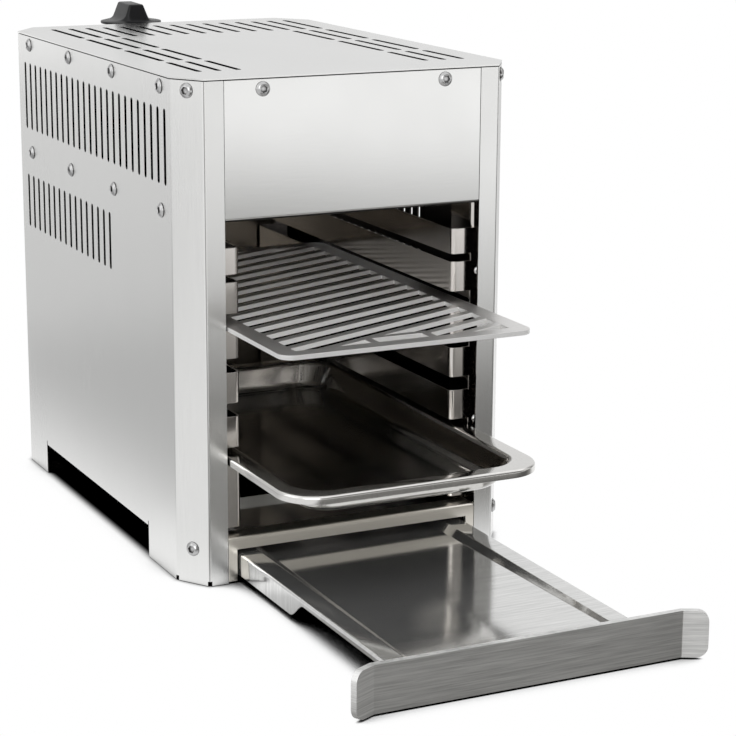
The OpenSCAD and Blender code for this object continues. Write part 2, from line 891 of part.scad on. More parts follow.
module rack_plan2() {
    translate([-rack_in - sheet_t, rack_y0 + rack_bend])
        square([sheet_t, rack_y1 - rack_y0 - 2 * rack_bend]);
    translate([-rack_out, rack_y0])
        square([rack_out - rack_in - rack_bend, sheet_t]);
    translate([-rack_out, rack_y1 - sheet_t])
        square([rack_out - rack_in - rack_bend, sheet_t]);
    translate([-rack_in - rack_bend, rack_y0 + rack_bend])
        mirror([0, 1])
            rack_bend2();
    translate([-rack_in - rack_bend, rack_y1 - rack_bend])
        rack_bend2();
}

module rack() {
    difference() {
        translate([0, 0, shelf_z + lap])
            linear_extrude(rack_top - shelf_z - lap)
                rack_plan2();
        for (i = [0 : 4]) {
            z = slot_z + i * slot_pitch;
            h = i == 4 ? top_slot_h : slot_h;
            box([-slot_half, rack_y0 - sheet_t, z], [sheet_t - rack_in, rack_y1 + sheet_t, z + h]);
        }
        rack_holes();
    }
}

module left_rack() {
    color(steel)
        rack();
}

module right_rack() {
    color(steel)
        mirror([1, 0, 0])
            rack();
}

module cavity_rear_wall() {
    color(dark_steel)
        box([-rack_out, rack_y1 + lap, shelf_z + lap], [rack_out, rack_y1 + lap + sheet_t, bracket_z - lap]);
}

// Posts behind the rack flanges
module post() {
    line = [
        [-post_x, post_y + post_depth],
        [-post_x, post_y],
        [-rack_out, post_y],
        [-rack_out, y_front + sheet_t + lap]
    ];
    difference() {
        fold(line, -sheet_t, shelf_z + lap, under_lid - lid_flange - edge_gap);
        rack_holes();
    }
}

module left_post() {
    color(steel)
        post();
}

module right_post() {
    color(steel)
        mirror([1, 0, 0])
            post();
}

// Drawer runners
module runner() {
    y0 = y_front + frame_fold + edge_gap;
    y1 = panel_in - edge_gap;
    back = rack_y1 + sheet_t + edge_gap;
    box([-ledge_out, y0, ledge_top - sheet_t], [-ledge_out + ledge_w, y1, ledge_top]);
    box([-ledge_out, y0, ledge_top - sheet_t], [-ledge_out + sheet_t, back, shelf_z]);
    translate([0, 0, shelf_z - sheet_t])
        linear_extrude(sheet_t)
            polygon([
                [-ledge_out + sheet_t, rack_y0],
                [-rack_out, rack_y0],
                [left_inner, y_front + front_chamfer_y + flange_trim],
                [left_inner, y_rear - rear_chamfer_y - edge_gap],
                [-rack_out, back],
                [-ledge_out + sheet_t, back]
            ]);
}

module left_runner() {
    color(dark_steel)
        runner();
}

module right_runner() {
    color(dark_steel)
        mirror([1, 0, 0])
            runner();
}

// Burner brackets on the lower screw row
module burner_bracket() {
    y0 = y_front + front_chamfer_y + edge_gap;
    y_shelf = post_y + post_depth + edge_gap;
    y1 = y_rear - rear_chamfer_y - edge_gap;
    z1 = body_h - row_lower_drop + bracket_head;
    difference() {
        union() {
            box([left_inner, y0, bracket_z], [left_inner + sheet_t, y1, z1]);
            box([left_inner, y_shelf, bracket_z], [-burner_half - bracket_gap, y1, bracket_z + sheet_t]);
        }
        panel_holes();
    }
}

module left_burner_bracket() {
    color(dark_steel)
        burner_bracket();
}

module right_burner_bracket() {
    color(dark_steel)
        mirror([1, 0, 0])
            burner_bracket();
}

// Burner
module burner_housing() {
    half = burner_half + burner_flange;
    color(dark_steel)
        difference() {
            union() {
                box([-half, burner_y0, burner_z], [half, burner_y1, burner_z + burner_wall]);
                box([-burner_half, burner_y0, burner_z], [burner_half, burner_y1, burner_z + burner_h]);
            }
            box([burner_lip - burner_half, burner_y0 + burner_lip, burner_z - burner_wall],
                [burner_half - burner_lip, burner_y1 - burner_lip, burner_z + 2 * burner_wall]);
            box([burner_wall - burner_half, burner_y0 + burner_wall, burner_z + burner_wall],
                [burner_half - burner_wall, burner_y1 - burner_wall, burner_z + burner_h - burner_wall]);
            translate([knob_x, burner_y1 - 2 * burner_wall, tube_z])
                rotate([-90, 0, 0])
                    cylinder(d = tube_d + 2 * lap, h = 3 * burner_wall);
        }
}

module burner_tiles() {
    x = burner_half - burner_wall - tile_gap;
    y0 = burner_y0 + burner_wall + tile_gap;
    l = (burner_y1 - burner_y0 - 2 * burner_wall - 3 * tile_gap) / 2;
    color(white)
        for (i = [0, 1])
            box([-x, y0 + i * (l + tile_gap), tile_z], [x, y0 + i * (l + tile_gap) + l, tile_z + tile_t]);
}

module mixing_tube() {
    l = tube_end - burner_y1 + tube_entry;
    ri = tube_d / 2 - tube_wall;
    rm = mouth_d / 2 - tube_wall;
    color(steel)
        translate([knob_x, burner_y1 - tube_entry, tube_z])
            rotate([-90, 0, 0])
                rotate_extrude()
                    polygon([
                        [ri, 0],
                        [tube_d / 2, 0],
                        [tube_d / 2, l - mouth_l],
                        [mouth_d / 2, l],
                        [rm, l],
                        [ri, l - mouth_l]
                    ]);
}

module gas_jet() {
    color(brass)
        translate([knob_x, jet_tip, tube_z])
            rotate([-90, 0, 0])
                difference() {
                    union() {
                        cylinder(d1 = jet_d, d2 = socket_d, h = jet_cone);
                        translate([0, 0, jet_cone - eps])
                            cylinder(d = jet_hex / cos(30), h = jet_reach - jet_cone - lap + eps, $fn = 6);
                        translate([0, 0, jet_cone])
                            cylinder(d = socket_d, h = jet_end - jet_tip - jet_cone);
                    }
                    translate([0, 0, -jet_cone])
                        cylinder(d = jet_hole, h = jet_cone + jet_hole_l + eps);
                    translate([0, 0, jet_hole_l])
                        cylinder(d = jet_bore, h = far);
                }
}

module gas_pipe() {
    color(copper)
        rod([
            [knob_x, jet_end + lap, tube_z],
            [knob_x, knob_y, tube_z],
            [knob_x, knob_y, valve_z - lap]
        ], pipe_d);
}

// Valve behind the body
module bracket_screw_places() {
    for (x = [bracket_edge - bracket_w / 2, bracket_w / 2 - bracket_edge])
        translate([knob_x + x, bracket_y + bracket_t, valve_z + bracket_screw_rise])
            rotate([-90, 0, 0])
                children();
}

module bracket_screw_holes() {
    bracket_screw_places()
        translate([0, 0, -bracket_screw_l - bracket_t])
            cylinder(d = small_d + 2 * hole_gap, h = bracket_screw_l + 2 * bracket_t);
}

module valve_bracket() {
    x0 = knob_x - bracket_w / 2;
    x1 = knob_x + bracket_w / 2;
    color(steel)
        difference() {
            union() {
                box([x0, bracket_y, valve_z], [x1, bracket_y + bracket_t, shelf_top]);
                box([x0, bracket_y, valve_top], [x1, knob_y + valve_d / 2 + bracket_lip, shelf_top]);
            }
            translate([knob_x, knob_y, valve_top - bracket_t])
                cylinder(d = neck_d + 2 * hole_gap, h = 3 * bracket_t);
            bracket_screw_holes();
        }
}

module gas_valve() {
    color(brass)
        translate([knob_x, knob_y, 0])
            difference() {
                union() {
                    translate([0, 0, valve_z])
                        cylinder(d = valve_d, h = valve_h - lap);
                    translate([0, 0, valve_top - bracket_t])
                        cylinder(d = neck_d, h = neck_top - valve_top + bracket_t);
                }
                translate([0, 0, plug_z - run_gap])
                    cylinder(d = plug_d + 2 * shaft_gap, h = far);
            }
}

module valve_nut() {
    color(brass)
        translate([knob_x, knob_y, nut_top])
            hex_nut(neck_d + 2 * lap, neck_d + 2 * neck_nut, nut_top - shelf_top - lap);
}

module gas_inlet() {
    color(brass)
        translate([knob_x, knob_y, inlet_z])
            rotate([0, 90, 0])
                difference() {
                    union() {
                        cylinder(d = inlet_hex / cos(30), h = inlet_x, $fn = 6);
                        cylinder(d = inlet_d, h = inlet_x + inlet_l);
                    }
                    cylinder(d = inlet_bore, h = far);
                    rotate([0, -90, 0])
                        cylinder(d = valve_d + 2 * lap, h = far, center = true);
                }
}

module valve_plug() {
    color(brass)
        translate([knob_x, knob_y, plug_z])
            difference() {
                cylinder(d = plug_d, h = plug_top - plug_z);
                translate([0, 0, stem_foot - press - stem_free])
                    cylinder(d = stem_d + 2 * shaft_gap, h = far);
            }
}

module stem_flat(gap) {
    translate([stem_d / 2 - stem_cut + gap, -stem_d, knob_z - gap])
        cube([stem_d, 2 * stem_d, far]);
}

module valve_stem() {
    color(steel)
        translate([knob_x, knob_y, 0])
            difference() {
                translate([0, 0, stem_z])
                    cylinder(d = stem_d, h = stem_top - stem_z);
                stem_flat(0);
            }
}

module control_knob() {
    color(black)
        translate([knob_x, knob_y, 0])
            difference() {
                union() {
                    translate([0, 0, knob_z])
                        cylinder(d = knob_d, h = knob_skirt);
                    intersection() {
                        translate([0, 0, knob_z + knob_skirt - eps])
                            cylinder(d1 = grip_l + grip_taper, d2 = grip_l - grip_taper, h = knob_grip + eps);
                        rotate([90, 0, grip_angle])
                            linear_extrude(knob_d, center = true)
                                polygon([
                                    [-grip_foot / 2, knob_z],
                                    [grip_foot / 2, knob_z],
                                    [grip_top / 2, grip_z],
                                    [-grip_top / 2, grip_z]
                                ]);
                    }
                }
                difference() {
                    translate([0, 0, knob_z - knob_skirt])
                        cylinder(d = stem_d + 2 * lap, h = stem_top - knob_z + knob_skirt + lap);
                    stem_flat(lap);
                }
            }
}

// Flame sensing and ignition
module thermocouple() {
    color(copper)
        rod([
            [knob_x - valve_d / 2 - lap, knob_y, inlet_z],
            [probe_x, knob_y, inlet_z],
            [probe_x, probe_y, inlet_z],
            [probe_x, probe_y, probe_z],
            [probe_x, burner_y1 - probe_reach, probe_z]
        ], probe_d);
}

module ignition_electrode() {
    color(white) {
        translate([lead_x, electrode_y, ceramic_z])
            cylinder(d = ceramic_d, h = ceramic_l);
        rod([
            [lead_x, electrode_y, ceramic_z + electrode_d],
            [lead_x, electrode_y, probe_z],
            [lead_x, burner_y1 - probe_reach, probe_z]
        ], electrode_d);
    }
}

module electrode_clip() {
    color(steel)
        difference() {
            box([lead_x - clip_half, burner_y1 + lap, ceramic_z + clip_rise],
                [lead_x + clip_half, electrode_y + clip_reach, ceramic_z + clip_rise + clip_h]);
            translate([lead_x, electrode_y, 0])
                cylinder(d = ceramic_d + 2 * lap, h = far);
        }
}

module ignition_lead() {
    color(black)
        rod([
            [knob_x + lead_start, lead_y, lead_z],
            [lead_x, lead_y, lead_z],
            [lead_x, electrode_y, lead_z],
            [lead_x, electrode_y, ceramic_z + ceramic_l + lap]
        ], lead_d);
}

// Fasteners
module panel_screws() {
    color(steel)
        panel_screw_places()
            button_screw(screw_d, head_d, head_h, screw_l, socket);
}

module panel_nuts() {
    color(steel)
        panel_screw_places()
            translate([0, 0, -stack - lap])
                hex_nut(screw_d + 2 * shaft_gap, nut_af, nut_h);
}

module rack_screws() {
    color(steel)
        rack_screw_places()
            button_screw(small_d, small_head_d, small_head_h, rack_screw_l, small_socket);
}

module rack_nuts() {
    color(steel)
        rack_screw_places()
            translate([0, 0, -stack - lap])
                rotate(30)
                    hex_nut(small_d + 2 * shaft_gap, small_nut_af, small_nut_h);
}

module bracket_screws() {
    color(steel)
        bracket_screw_places()
            button_screw(small_d, small_head_d, small_head_h, bracket_screw_l, small_socket);
}

// Grate
module grate_plan2() {
    half = grate_w / 2;
    reach = grate_l + grate_w;
    count = ceil(reach / bar_pitch);
    frame_half = lift_w / 2 + lift_frame;
    difference() {
        round2(-half, 0, half, grate_l, grate_r);
        difference() {
            intersection() {
                translate([grate_edge - half, grate_border])
                    square([grate_w - 2 * grate_edge, grate_l - 2 * grate_border]);
                translate([0, grate_l / 2 + bar_shift])
                    rotate(bar_angle)
                        for (i = [-count : count])
                            translate([-reach, i * bar_pitch])
                                square([2 * reach, bar_pitch - bar_w]);
            }
            translate([-frame_half, 0])
                square([2 * frame_half, grate_border + lift_d + lift_frame]);
        }
        translate([-lift_w / 2, grate_border])
            square([lift_w, lift_d]);
    }
}

module grate() {
    color(steel)
        translate([grate_x, grate_y, grate_z])
            linear_extrude(grate_t)
                grate_plan2();
}

// Tray
module tray_plan2(inset) {
    half = tray_w / 2 - inset;
    round2(-half, inset, half, tray_l - inset, tray_r - inset);
}

// Section of rim and wall: across from the rim edge inwards, up from the rim top
module tray_section2() {
    sole = tray_rim + tray_slope;
    polygon([
        [0, -tray_roll],
        [tray_t, -tray_roll],
        [tray_t, -tray_t],
        [tray_rim, -tray_t],
        [sole, -tray_depth],
        [sole + tray_t, -tray_depth],
        [sole + tray_t, tray_t - tray_depth],
        [tray_rim + tray_t, 0],
        [0, 0]
    ]);
}

// Front left corner of rim and wall
module tray_corner() {
    translate([tray_r - tray_w / 2, tray_r, 0])
        rotate(180)
            rotate_extrude(angle = 90)
                translate([tray_r, 0])
                    mirror([1, 0])
                        tray_section2();
}

module tray() {
    color(steel)
        translate([0, tray_y, tray_z]) {
            pair() {
                translate([-tray_w / 2, tray_l - tray_r, 0])
                    rotate([90, 0, 0])
                        linear_extrude(tray_l - 2 * tray_r)
                            tray_section2();
                for (end = [0, 1])
                    translate([0, end * tray_l, 0])
                        mirror([0, end, 0])
                            tray_corner();
            }
            for (end = [0, 1])
                translate([0, end * tray_l, 0])
                    mirror([0, end, 0])
                        translate([tray_r - tray_w / 2, 0, 0])
                            rotate([90, 0, 90])
                                linear_extrude(tray_w - 2 * tray_r)
                                    tray_section2();
            translate([0, 0, -tray_depth])
                linear_extrude(tray_t)
                    tray_plan2(tray_rim + tray_slope);
        }
}

// Drawer
module drawer_pan() {
    front = drawer_top - pan_front;
    rear = drawer_top - pan_rear;
    y_step = pan_y0 + lip_step;
    color(steel)
        difference() {
            union() {
                pair() {
                    box([-drawer_half, pan_y0, drawer_top - drawer_t],
                        [drawer_t - pan_half, pan_y1, drawer_top]);
                    box([-drawer_half, pan_y0, drawer_top - lip_short],
                        [drawer_t - drawer_half, pan_y1, drawer_top]);
                    box([-drawer_half, y_step, drawer_top - lip_h],
                        [drawer_t - drawer_half, pan_y1, drawer_top]);
                    translate([-pan_half, 0, 0])
                        rotate([90, 0, 90])
                            linear_extrude(drawer_t)
                                polygon([
                                    [pan_y0, front - drawer_t],
                                    [pan_y1, rear - drawer_t],
                                    [pan_y1, drawer_top],
                                    [pan_y0, drawer_top]
                                ]);
                }
                translate([-pan_half, 0, 0])
                    rotate([90, 0, 90])
                        linear_extrude(2 * pan_half)
                            polygon([
                                [pan_y0, front - drawer_t],
                                [pan_y1, rear - drawer_t],
                                [pan_y1, rear],
                                [pan_y0, front]
                            ]);
                box([-pan_half, pan_y0, drawer_top - pan_plate], [pan_half, pan_y0 + drawer_t, drawer_top]);
                box([-pan_half, pan_y1 - drawer_t, rear - drawer_t], [pan_half, pan_y1, drawer_top]);
            }
            handle_screw_places()
                translate([0, 0, -2 * drawer_t])
                    cylinder(d = handle_screw_d + 2 * hole_gap, h = 3 * drawer_t);
        }
}

// Places of the handle screws, head side along +Z
module handle_screw_places() {
    for (s = [-1, 1])
        translate([s * handle_screw_x, pan_y0 + drawer_t, handle_screw_z])
            rotate([-90, 0, 0])
                children();
}

module handle_plate() {
    y = pan_y0 - lap;
    line = [
        [handle_half + wing_x, y - handle_t - wing_y],
        [handle_half, y - handle_t],
        [-handle_half, y - handle_t],
        [-handle_half - wing_x, y - handle_t - wing_y]
    ];
    color(steel)
        difference() {
            intersection() {
                fold(line, -handle_t, handle_z, handle_z + handle_h);
                translate([0, y + 2 * handle_t, 0])
                    rotate([90, 0, 0])
                        linear_extrude(wing_y + 6 * handle_t)
                            round2(-handle_half - wing_x, handle_z, handle_half + wing_x,
                                handle_z + handle_h, wing_r);
            }
            handle_screw_places()
                translate([0, 0, -handle_screw_l - hole_gap])
                    cylinder(d = handle_screw_d + 2 * shaft_gap, h = 2 * handle_screw_l);
        }
}

module handle_screws() {
    color(steel)
        handle_screw_places()
            button_screw(handle_screw_d, handle_head_d, handle_head_h, handle_screw_l, handle_socket);
}

left_side_panel();
right_side_panel();
lid();
rear_panel();
front_fascia();
drawer_frame();
left_rack();
right_rack();
cavity_rear_wall();
left_post();
right_post();
left_runner();
right_runner();
left_burner_bracket();
right_burner_bracket();
burner_housing();
burner_tiles();
mixing_tube();
gas_jet();
gas_pipe();
valve_bracket();
gas_valve();
valve_nut();
gas_inlet();
valve_plug();
valve_stem();
control_knob();
thermocouple();
ignition_electrode();
electrode_clip();
ignition_lead();
panel_screws();
panel_nuts();
rack_screws();
rack_nuts();
bracket_screws();
grate();
tray();
drawer_pan();
handle_plate();
handle_screws();
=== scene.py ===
"""Looks of the gas steak grill: folded sheets, tray, grate, drawer, knob and screws around the packed frame.

All lengths are metres in the frame of the packed model. The front faces -Y and +Z is up.
"""
import math

import bmesh
import bpy
import numpy as np
from bpy.props import FloatProperty, FloatVectorProperty, IntProperty, PointerProperty
from mathutils import Matrix, Vector


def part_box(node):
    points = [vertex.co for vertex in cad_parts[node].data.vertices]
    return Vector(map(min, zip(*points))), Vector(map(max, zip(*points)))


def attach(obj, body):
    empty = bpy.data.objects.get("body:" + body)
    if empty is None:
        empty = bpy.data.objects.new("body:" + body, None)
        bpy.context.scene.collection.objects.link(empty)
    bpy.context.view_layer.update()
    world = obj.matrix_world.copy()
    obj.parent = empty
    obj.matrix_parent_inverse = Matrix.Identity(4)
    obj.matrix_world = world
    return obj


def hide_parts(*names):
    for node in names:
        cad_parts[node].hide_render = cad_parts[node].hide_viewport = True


bl_info = {
    "name": "Gas steak grill looks",
    "version": (1, 0, 0),
    "blender": (4, 5, 0),
    "location": "View3D > Sidebar > Grill",
    "description": "Builds the sheets, finishes and studio of a gas steak grill around its packed frame",
    "category": "Object",
}

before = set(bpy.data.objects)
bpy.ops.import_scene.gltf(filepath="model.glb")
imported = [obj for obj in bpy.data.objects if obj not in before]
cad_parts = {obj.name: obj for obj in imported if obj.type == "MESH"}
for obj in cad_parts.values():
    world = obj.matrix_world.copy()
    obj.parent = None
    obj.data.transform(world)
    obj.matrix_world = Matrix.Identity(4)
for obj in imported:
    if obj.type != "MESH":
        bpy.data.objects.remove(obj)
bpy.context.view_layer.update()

MM = 0.001
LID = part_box("lid")
HALF = LID[1].x
FRONT = LID[0].y
REAR = LID[1].y
TOP = LID[1].z
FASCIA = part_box("front_fascia")
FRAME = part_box("drawer_frame")
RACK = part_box("left_rack")
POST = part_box("left_post")
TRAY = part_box("tray")
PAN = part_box("drawer_pan")
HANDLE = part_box("handle_plate")
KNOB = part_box("control_knob")

NO_TRIANGLES = np.empty((0, 3), int)
QUARTER = math.pi / 2
# Share of a sheet's thickness by which joined sheets reach into each other
TUCK = 0.6
# Knob grip rows: share of its height, shares of its length and width at the foot, corner radius in mm
GRIP_ROWS = (
    (0.0, 1.02, 1.75, 14), (0.03, 1.0, 1.45, 11), (0.08, 0.98, 1.22, 8), (0.16, 0.96, 1.05, 5),
    (0.3, 0.935, 0.92, 3), (0.5, 0.9, 0.81, 2.2), (0.75, 0.86, 0.69, 1.8), (0.9, 0.835, 0.62, 1.7),
    (0.955, 0.82, 0.59, 1.7), (0.985, 0.80, 0.55, 1.6), (1.0, 0.77, 0.49, 1.5), (1.0, 0.4, 0.2, 0.8))
# Levels of the floor card by distance in front of the body: middle, right, and left beside the body
CARD_LEVELS = (
    ((3.0, 1.2), (2.0, 1.2), (1.24, 1.05), (1.01, 0.80), (0.907, 0.62), (0.816, 0.53), (0.653, 0.42),
     (0.57, 0.33), (0.514, 0.26), (0.393, 0.2), (0.29, 0.2), (0.19, 0.24), (0.11, 0.26), (0.039, 0.6),
     (0.005, 1.0), (-1.0, 0.7)),
    ((3.0, 1.25), (2.0, 1.25), (1.4, 1.25), (1.25, 1.15), (1.0, 1.0), (0.88, 0.85), (0.8, 0.74), (0.6, 0.6),
     (0.5, 0.45), (0.39, 0.22), (0.3, 0.12), (0.2, 0.12), (0.1, 0.3), (0.04, 0.71), (0.0, 1.0), (-1.0, 0.7)),
    ((1.5, 0.9), (-0.06, 0.9), (-0.2, 0.52), (-0.55, 0.52), (-0.9, 0.70), (-1.5, 0.74)),
)
CARD_PEAK = 1.25
# The card turns from middle to right between two rays of a fan whose root lies in front and to the left
FAN_DEPTH, FAN_SIDE, FAN_SLOPES = 1.271, 0.61, (0.401, 0.559)
# The card turns from left to middle between these places across
CARD_LEFT, CARD_MIDDLE = -0.24, -0.11
# Levels of the room that metal shows, by degrees to the right of straight in front
ROOM_LEVELS = ((-180, 0.80), (-150, 0.66), (-105, 0.95), (-62, 1.1), (-48, 2.4), (-18, 2.4), (-6, 0.35),
               (40, 0.22), (95, 0.2), (130, 0.85), (180, 0.80))
ROOM_PEAK, GROUND_LEVEL, CEILING_LEVEL, ROOM_LIGHT = 2.4, 1.1, 1.12, 0.42


def length(name, text, value):
    """A length property in metres."""
    return FloatProperty(name=name, description=text, default=value, unit="LENGTH", precision=5)


def tint(name, text, value):
    """A colour property."""
    return FloatVectorProperty(name=name, description=text, default=value, min=0, max=1, size=3, subtype="COLOR")


def number(name, text, value, least=2):
    """A count property."""
    return IntProperty(name=name, description=text, default=value, min=least)


def angle(name, text, degrees):
    """An angle property."""
    return FloatProperty(name=name, description=text, default=math.radians(degrees), subtype="ANGLE")


class GrillBody(bpy.types.PropertyGroup):
    """Sizes of the folded body sheets"""

    sheet: length("Sheet", "Thickness of the body sheet", 1.5 * MM)
    bend: length("Bend", "Outer radius of the body bends", 2.6 * MM)
    soft: length("Edge", "Rounding of the cut sheet edges", 0.22 * MM)
    lap: length("Lap", "Gap between sheets that lie together", 0.05 * MM)
    strip: length("Strip", "Width of a front strip", 13 * MM)
    front_x: length("Front chamfer across", "Front chamfer across the width", 14 * MM)
    front_y: length("Front chamfer deep", "Front chamfer along the depth", 21.5 * MM)
    rear_x: length("Rear chamfer across", "Rear chamfer across the width", 19 * MM)
    rear_y: length("Rear chamfer deep", "Rear chamfer along the depth", 24 * MM)
    rear_strip: length("Rear strip", "Width of a rear strip", 17 * MM)
    foot: length("Foot", "Height of the foot cut-out", 21.7 * MM)
    front_foot: length("Front foot", "Length of a front foot along the side", 72 * MM)
    rear_foot: length("Rear foot", "Length of a rear foot along the side", 64 * MM)
    flange: length("Foot flange", "Width of a folded foot flange", 14 * MM)
    rear_flange: length("Rear foot flange", "Length of a rear foot flange", 20 * MM)
    front_in: length("Front flange place", "Distance from the cut-out to a front foot flange", 18 * MM)
    rear_in: length("Rear flange place", "Distance from the cut-out to the far end of a rear foot flange", 22 * MM)
    relief: length("Relief", "Size of a bend relief notch", 3 * MM)
    slit: length("Slit", "Width of a relief slit at a foot", 1.2 * MM)
    lid_sheet: length("Lid sheet", "Thickness of the lid plate at its edge", 0.9 * MM)
    lid_soft: length("Lid edge", "Rounding of the lid edges", 0.32 * MM)
    lid_flange: length("Lid flange", "Height of the lid flanges", 15 * MM)
    lid_knee: length("Lid knee", "Reach of the lid corners along the depth", 30 * MM)
    trim: length("Trim", "Room at the ends of inner flanges", 3 * MM)
    fascia_fold: length("Fascia fold", "Depth of the folded fascia edge", 12 * MM)
    frame_fold: length("Frame fold", "Depth of the folded frame top", 14 * MM)
    frame_leg: length("Frame leg", "Width of a drawer frame leg", 6 * MM)
    frame_bar: length("Frame bar", "Height of the drawer frame bar", 8.5 * MM)
    ear_foot: length("Ear foot", "Height of the lower end of a frame ear", 8 * MM)
    ear_bend: length("Ear bend", "Bend radius of a frame ear", 2.1 * MM)


class GrillVents(bpy.types.PropertyGroup):
    """Slots in the sides and the lid"""

    width: length("Slot", "Width of a slot", 4 * MM)
    upper: number("Upper", "Number of upper side slots", 25)
    lower: number("Lower", "Number of lower side slots", 16)
    front: length("First", "Distance from the front bend to the first side slot", 8.9 * MM)
    edge: length("Last", "Distance from the rear bend to the last side slot", 16 * MM)
    upper_l: length("Upper length", "Length of an upper side slot", 48 * MM)
    lower_l: length("Lower length", "Length of a lower side slot", 38.5 * MM)
    upper_drop: length("Upper drop", "Distance from the lid top to the upper slots", 20.5 * MM)
    lower_drop: length("Lower drop", "Distance from the lid top to the lower slots", 102 * MM)
    lid_count: number("Lid slots", "Slots in the rear lid row", 15, 6)
    lid_pitch: length("Lid pitch", "Distance from lid slot to lid slot", 13.2 * MM)
    lid_shift: length("Lid shift", "Sideways shift of the lid slots", 3.4 * MM)
    lid_edge: length("Lid front", "Distance from the front edge to the first lid slots", 38 * MM)
    lid_rear: length("Lid rear", "Distance from the rear edge to the last lid slots", 22 * MM)
    lid_first: length("Lid first", "Length of a front lid slot", 56 * MM)
    lid_web: length("Lid web", "Solid web between the lid slot rows", 9 * MM)


class GrillRack(bpy.types.PropertyGroup):
    """Racks and their posts"""

    bend: length("Bend", "Outer radius of the rack bends", 4 * MM)
    levels: number("Levels", "Number of rack levels", 5)
    slot_end: length("Slot end", "Distance from the middle to a slot end", 88.8 * MM)
    slot_z: length("Lowest slot", "Height of the lowest slot floor", 78 * MM)
    pitch: length("Slot pitch", "Distance from slot to slot", 29 * MM)
    slot: length("Slot", "Height of a slot", 9 * MM)
    top_slot: length("Top slot", "Height of the top slot", 5 * MM)
    post_bend: length("Post bend", "Outer radius of the post bends", 3.2 * MM)


class GrillTray(bpy.types.PropertyGroup):
    """Grate, tray and drawer sheets"""

    grate_soft: length("Grate edge", "Rounding of the grate edges", 0.9 * MM)
    soft: length("Edge", "Rounding of the tray and drawer edges", 0.2 * MM)
    sheet: length("Tray sheet", "Thickness of the tray sheet", 1 * MM)
    corner: length("Corner", "Corner radius of the tray rim", 26 * MM)
    rim: length("Rim", "Width of the rim up to the wall", 13.6 * MM)
    slope: length("Slope", "Sideways run of the sloping wall", 8 * MM)
    inner: length("Inner corner", "Corner radius of the tray floor", 18 * MM)
    edge: length("Rim edge", "Radius at the outer edge of the rim", 1.9 * MM)
    throat: length("Throat", "Radius from the rim into the wall", 4.5 * MM)
    sole: length("Sole", "Radius from the wall into the floor", 8 * MM)
    roll: length("Roll", "Height of the turned-down rim edge", 5.2 * MM)
    pan_sheet: length("Drawer sheet", "Thickness of the drawer sheet", 1.2 * MM)
    pan_flange: length("Drawer flange", "Width of a drawer flange", 13.5 * MM)
    pan_front: length("Front depth", "Depth of the drawer at its front", 1.8 * MM)
    pan_rear: length("Rear depth", "Depth of the drawer at its rear", 4.2 * MM)
    pan_bend: length("Drawer bend", "Radius of the drawer bends", 2 * MM)
    pan_slope: FloatProperty(name="Drawer slope", default=2,
                             description="Sideways run of the drawer sides per depth")
    lip_short: length("Short lip", "Height of the short drawer lips", 4 * MM)
    lip_step: length("Lip step", "Length of the short drawer lips", 131 * MM)
    lip_ramp: length("Lip ramp", "Length of the ramp from the short to the tall drawer lip", 20 * MM)
    lip_gap: length("Lip gap", "Gap between the tall drawer lips and the runners", 0.1 * MM)
    plate: length("Front plate", "Height of the drawer front plate", 15 * MM)
    plate_gap: length("Plate gap", "Distance of the front plate from the drawer top", 0.3 * MM)


class GrillHandle(bpy.types.PropertyGroup):
    """Handle and knob"""

    thick: length("Handle", "Thickness of the handle", 4 * MM)
    half: length("Straight half", "Half width of the straight handle part", 100 * MM)
    wing: length("Wing reach", "Forward reach of a bent handle end", 7 * MM)
    bend: length("Wing bend", "Radius of the handle bends", 2.2 * MM)
    corner: length("Wing corner", "Corner radius of the handle ends", 7 * MM)
    soft: length("Handle edge", "Rounding of the handle edges", 0.55 * MM)
    skirt: length("Skirt", "Thickness of the knob skirt", 2.5 * MM)
    bore: length("Knob bore", "Radius of the innermost ring under the knob", 4 * MM)
    rim: length("Skirt edge", "Rounding of the knob skirt", 0.6 * MM)
    grip_l: length("Grip length", "Length of the knob grip at its foot", 39 * MM)
    grip_w: length("Grip width", "Width of the knob grip at its foot", 19 * MM)
    grip_angle: angle("Grip angle", "Angle of the knob grip", 86)


class GrillFixings(bpy.types.PropertyGroup):
    """Places of the screws and sizes of the bent rods"""

    first: length("First screw", "Distance from the front to the first side screws", 38.6 * MM)
    rear: length("Last screw", "Distance from the rear bend to the last side screws", 26.4 * MM)
    upper: length("Upper screws", "Distance from the lid top to the upper screws", 7.6 * MM)
    lower: length("Lower screws", "Distance from the lid top to the lower screws", 85 * MM)
    foot: length("Foot screws", "Height of the lowest chamfer screws", 23 * MM)
    fascia: length("Fascia screws", "Distance from the middle to a fascia screw", 63 * MM)
    pitch: length("Thread", "Distance from thread to thread", 0.8 * MM)
    nut: length("Nut edge", "Rounding of the nuts", 0.25 * MM)
    pipe: length("Pipe bend", "Middle radius of the gas pipe bend", 11 * MM)
    rod: length("Rod", "Radius of the flame sensor and of the ignition lead", 1.5 * MM)
    sensor: length("Sensor bend", "Middle radius of the flame sensor bends", 6 * MM)
    rise: length("Sensor rise", "Distance from the burner to the rising flame sensor", 22 * MM)
    lead: length("Lead bend", "Middle radius of the ignition lead bends", 8 * MM)


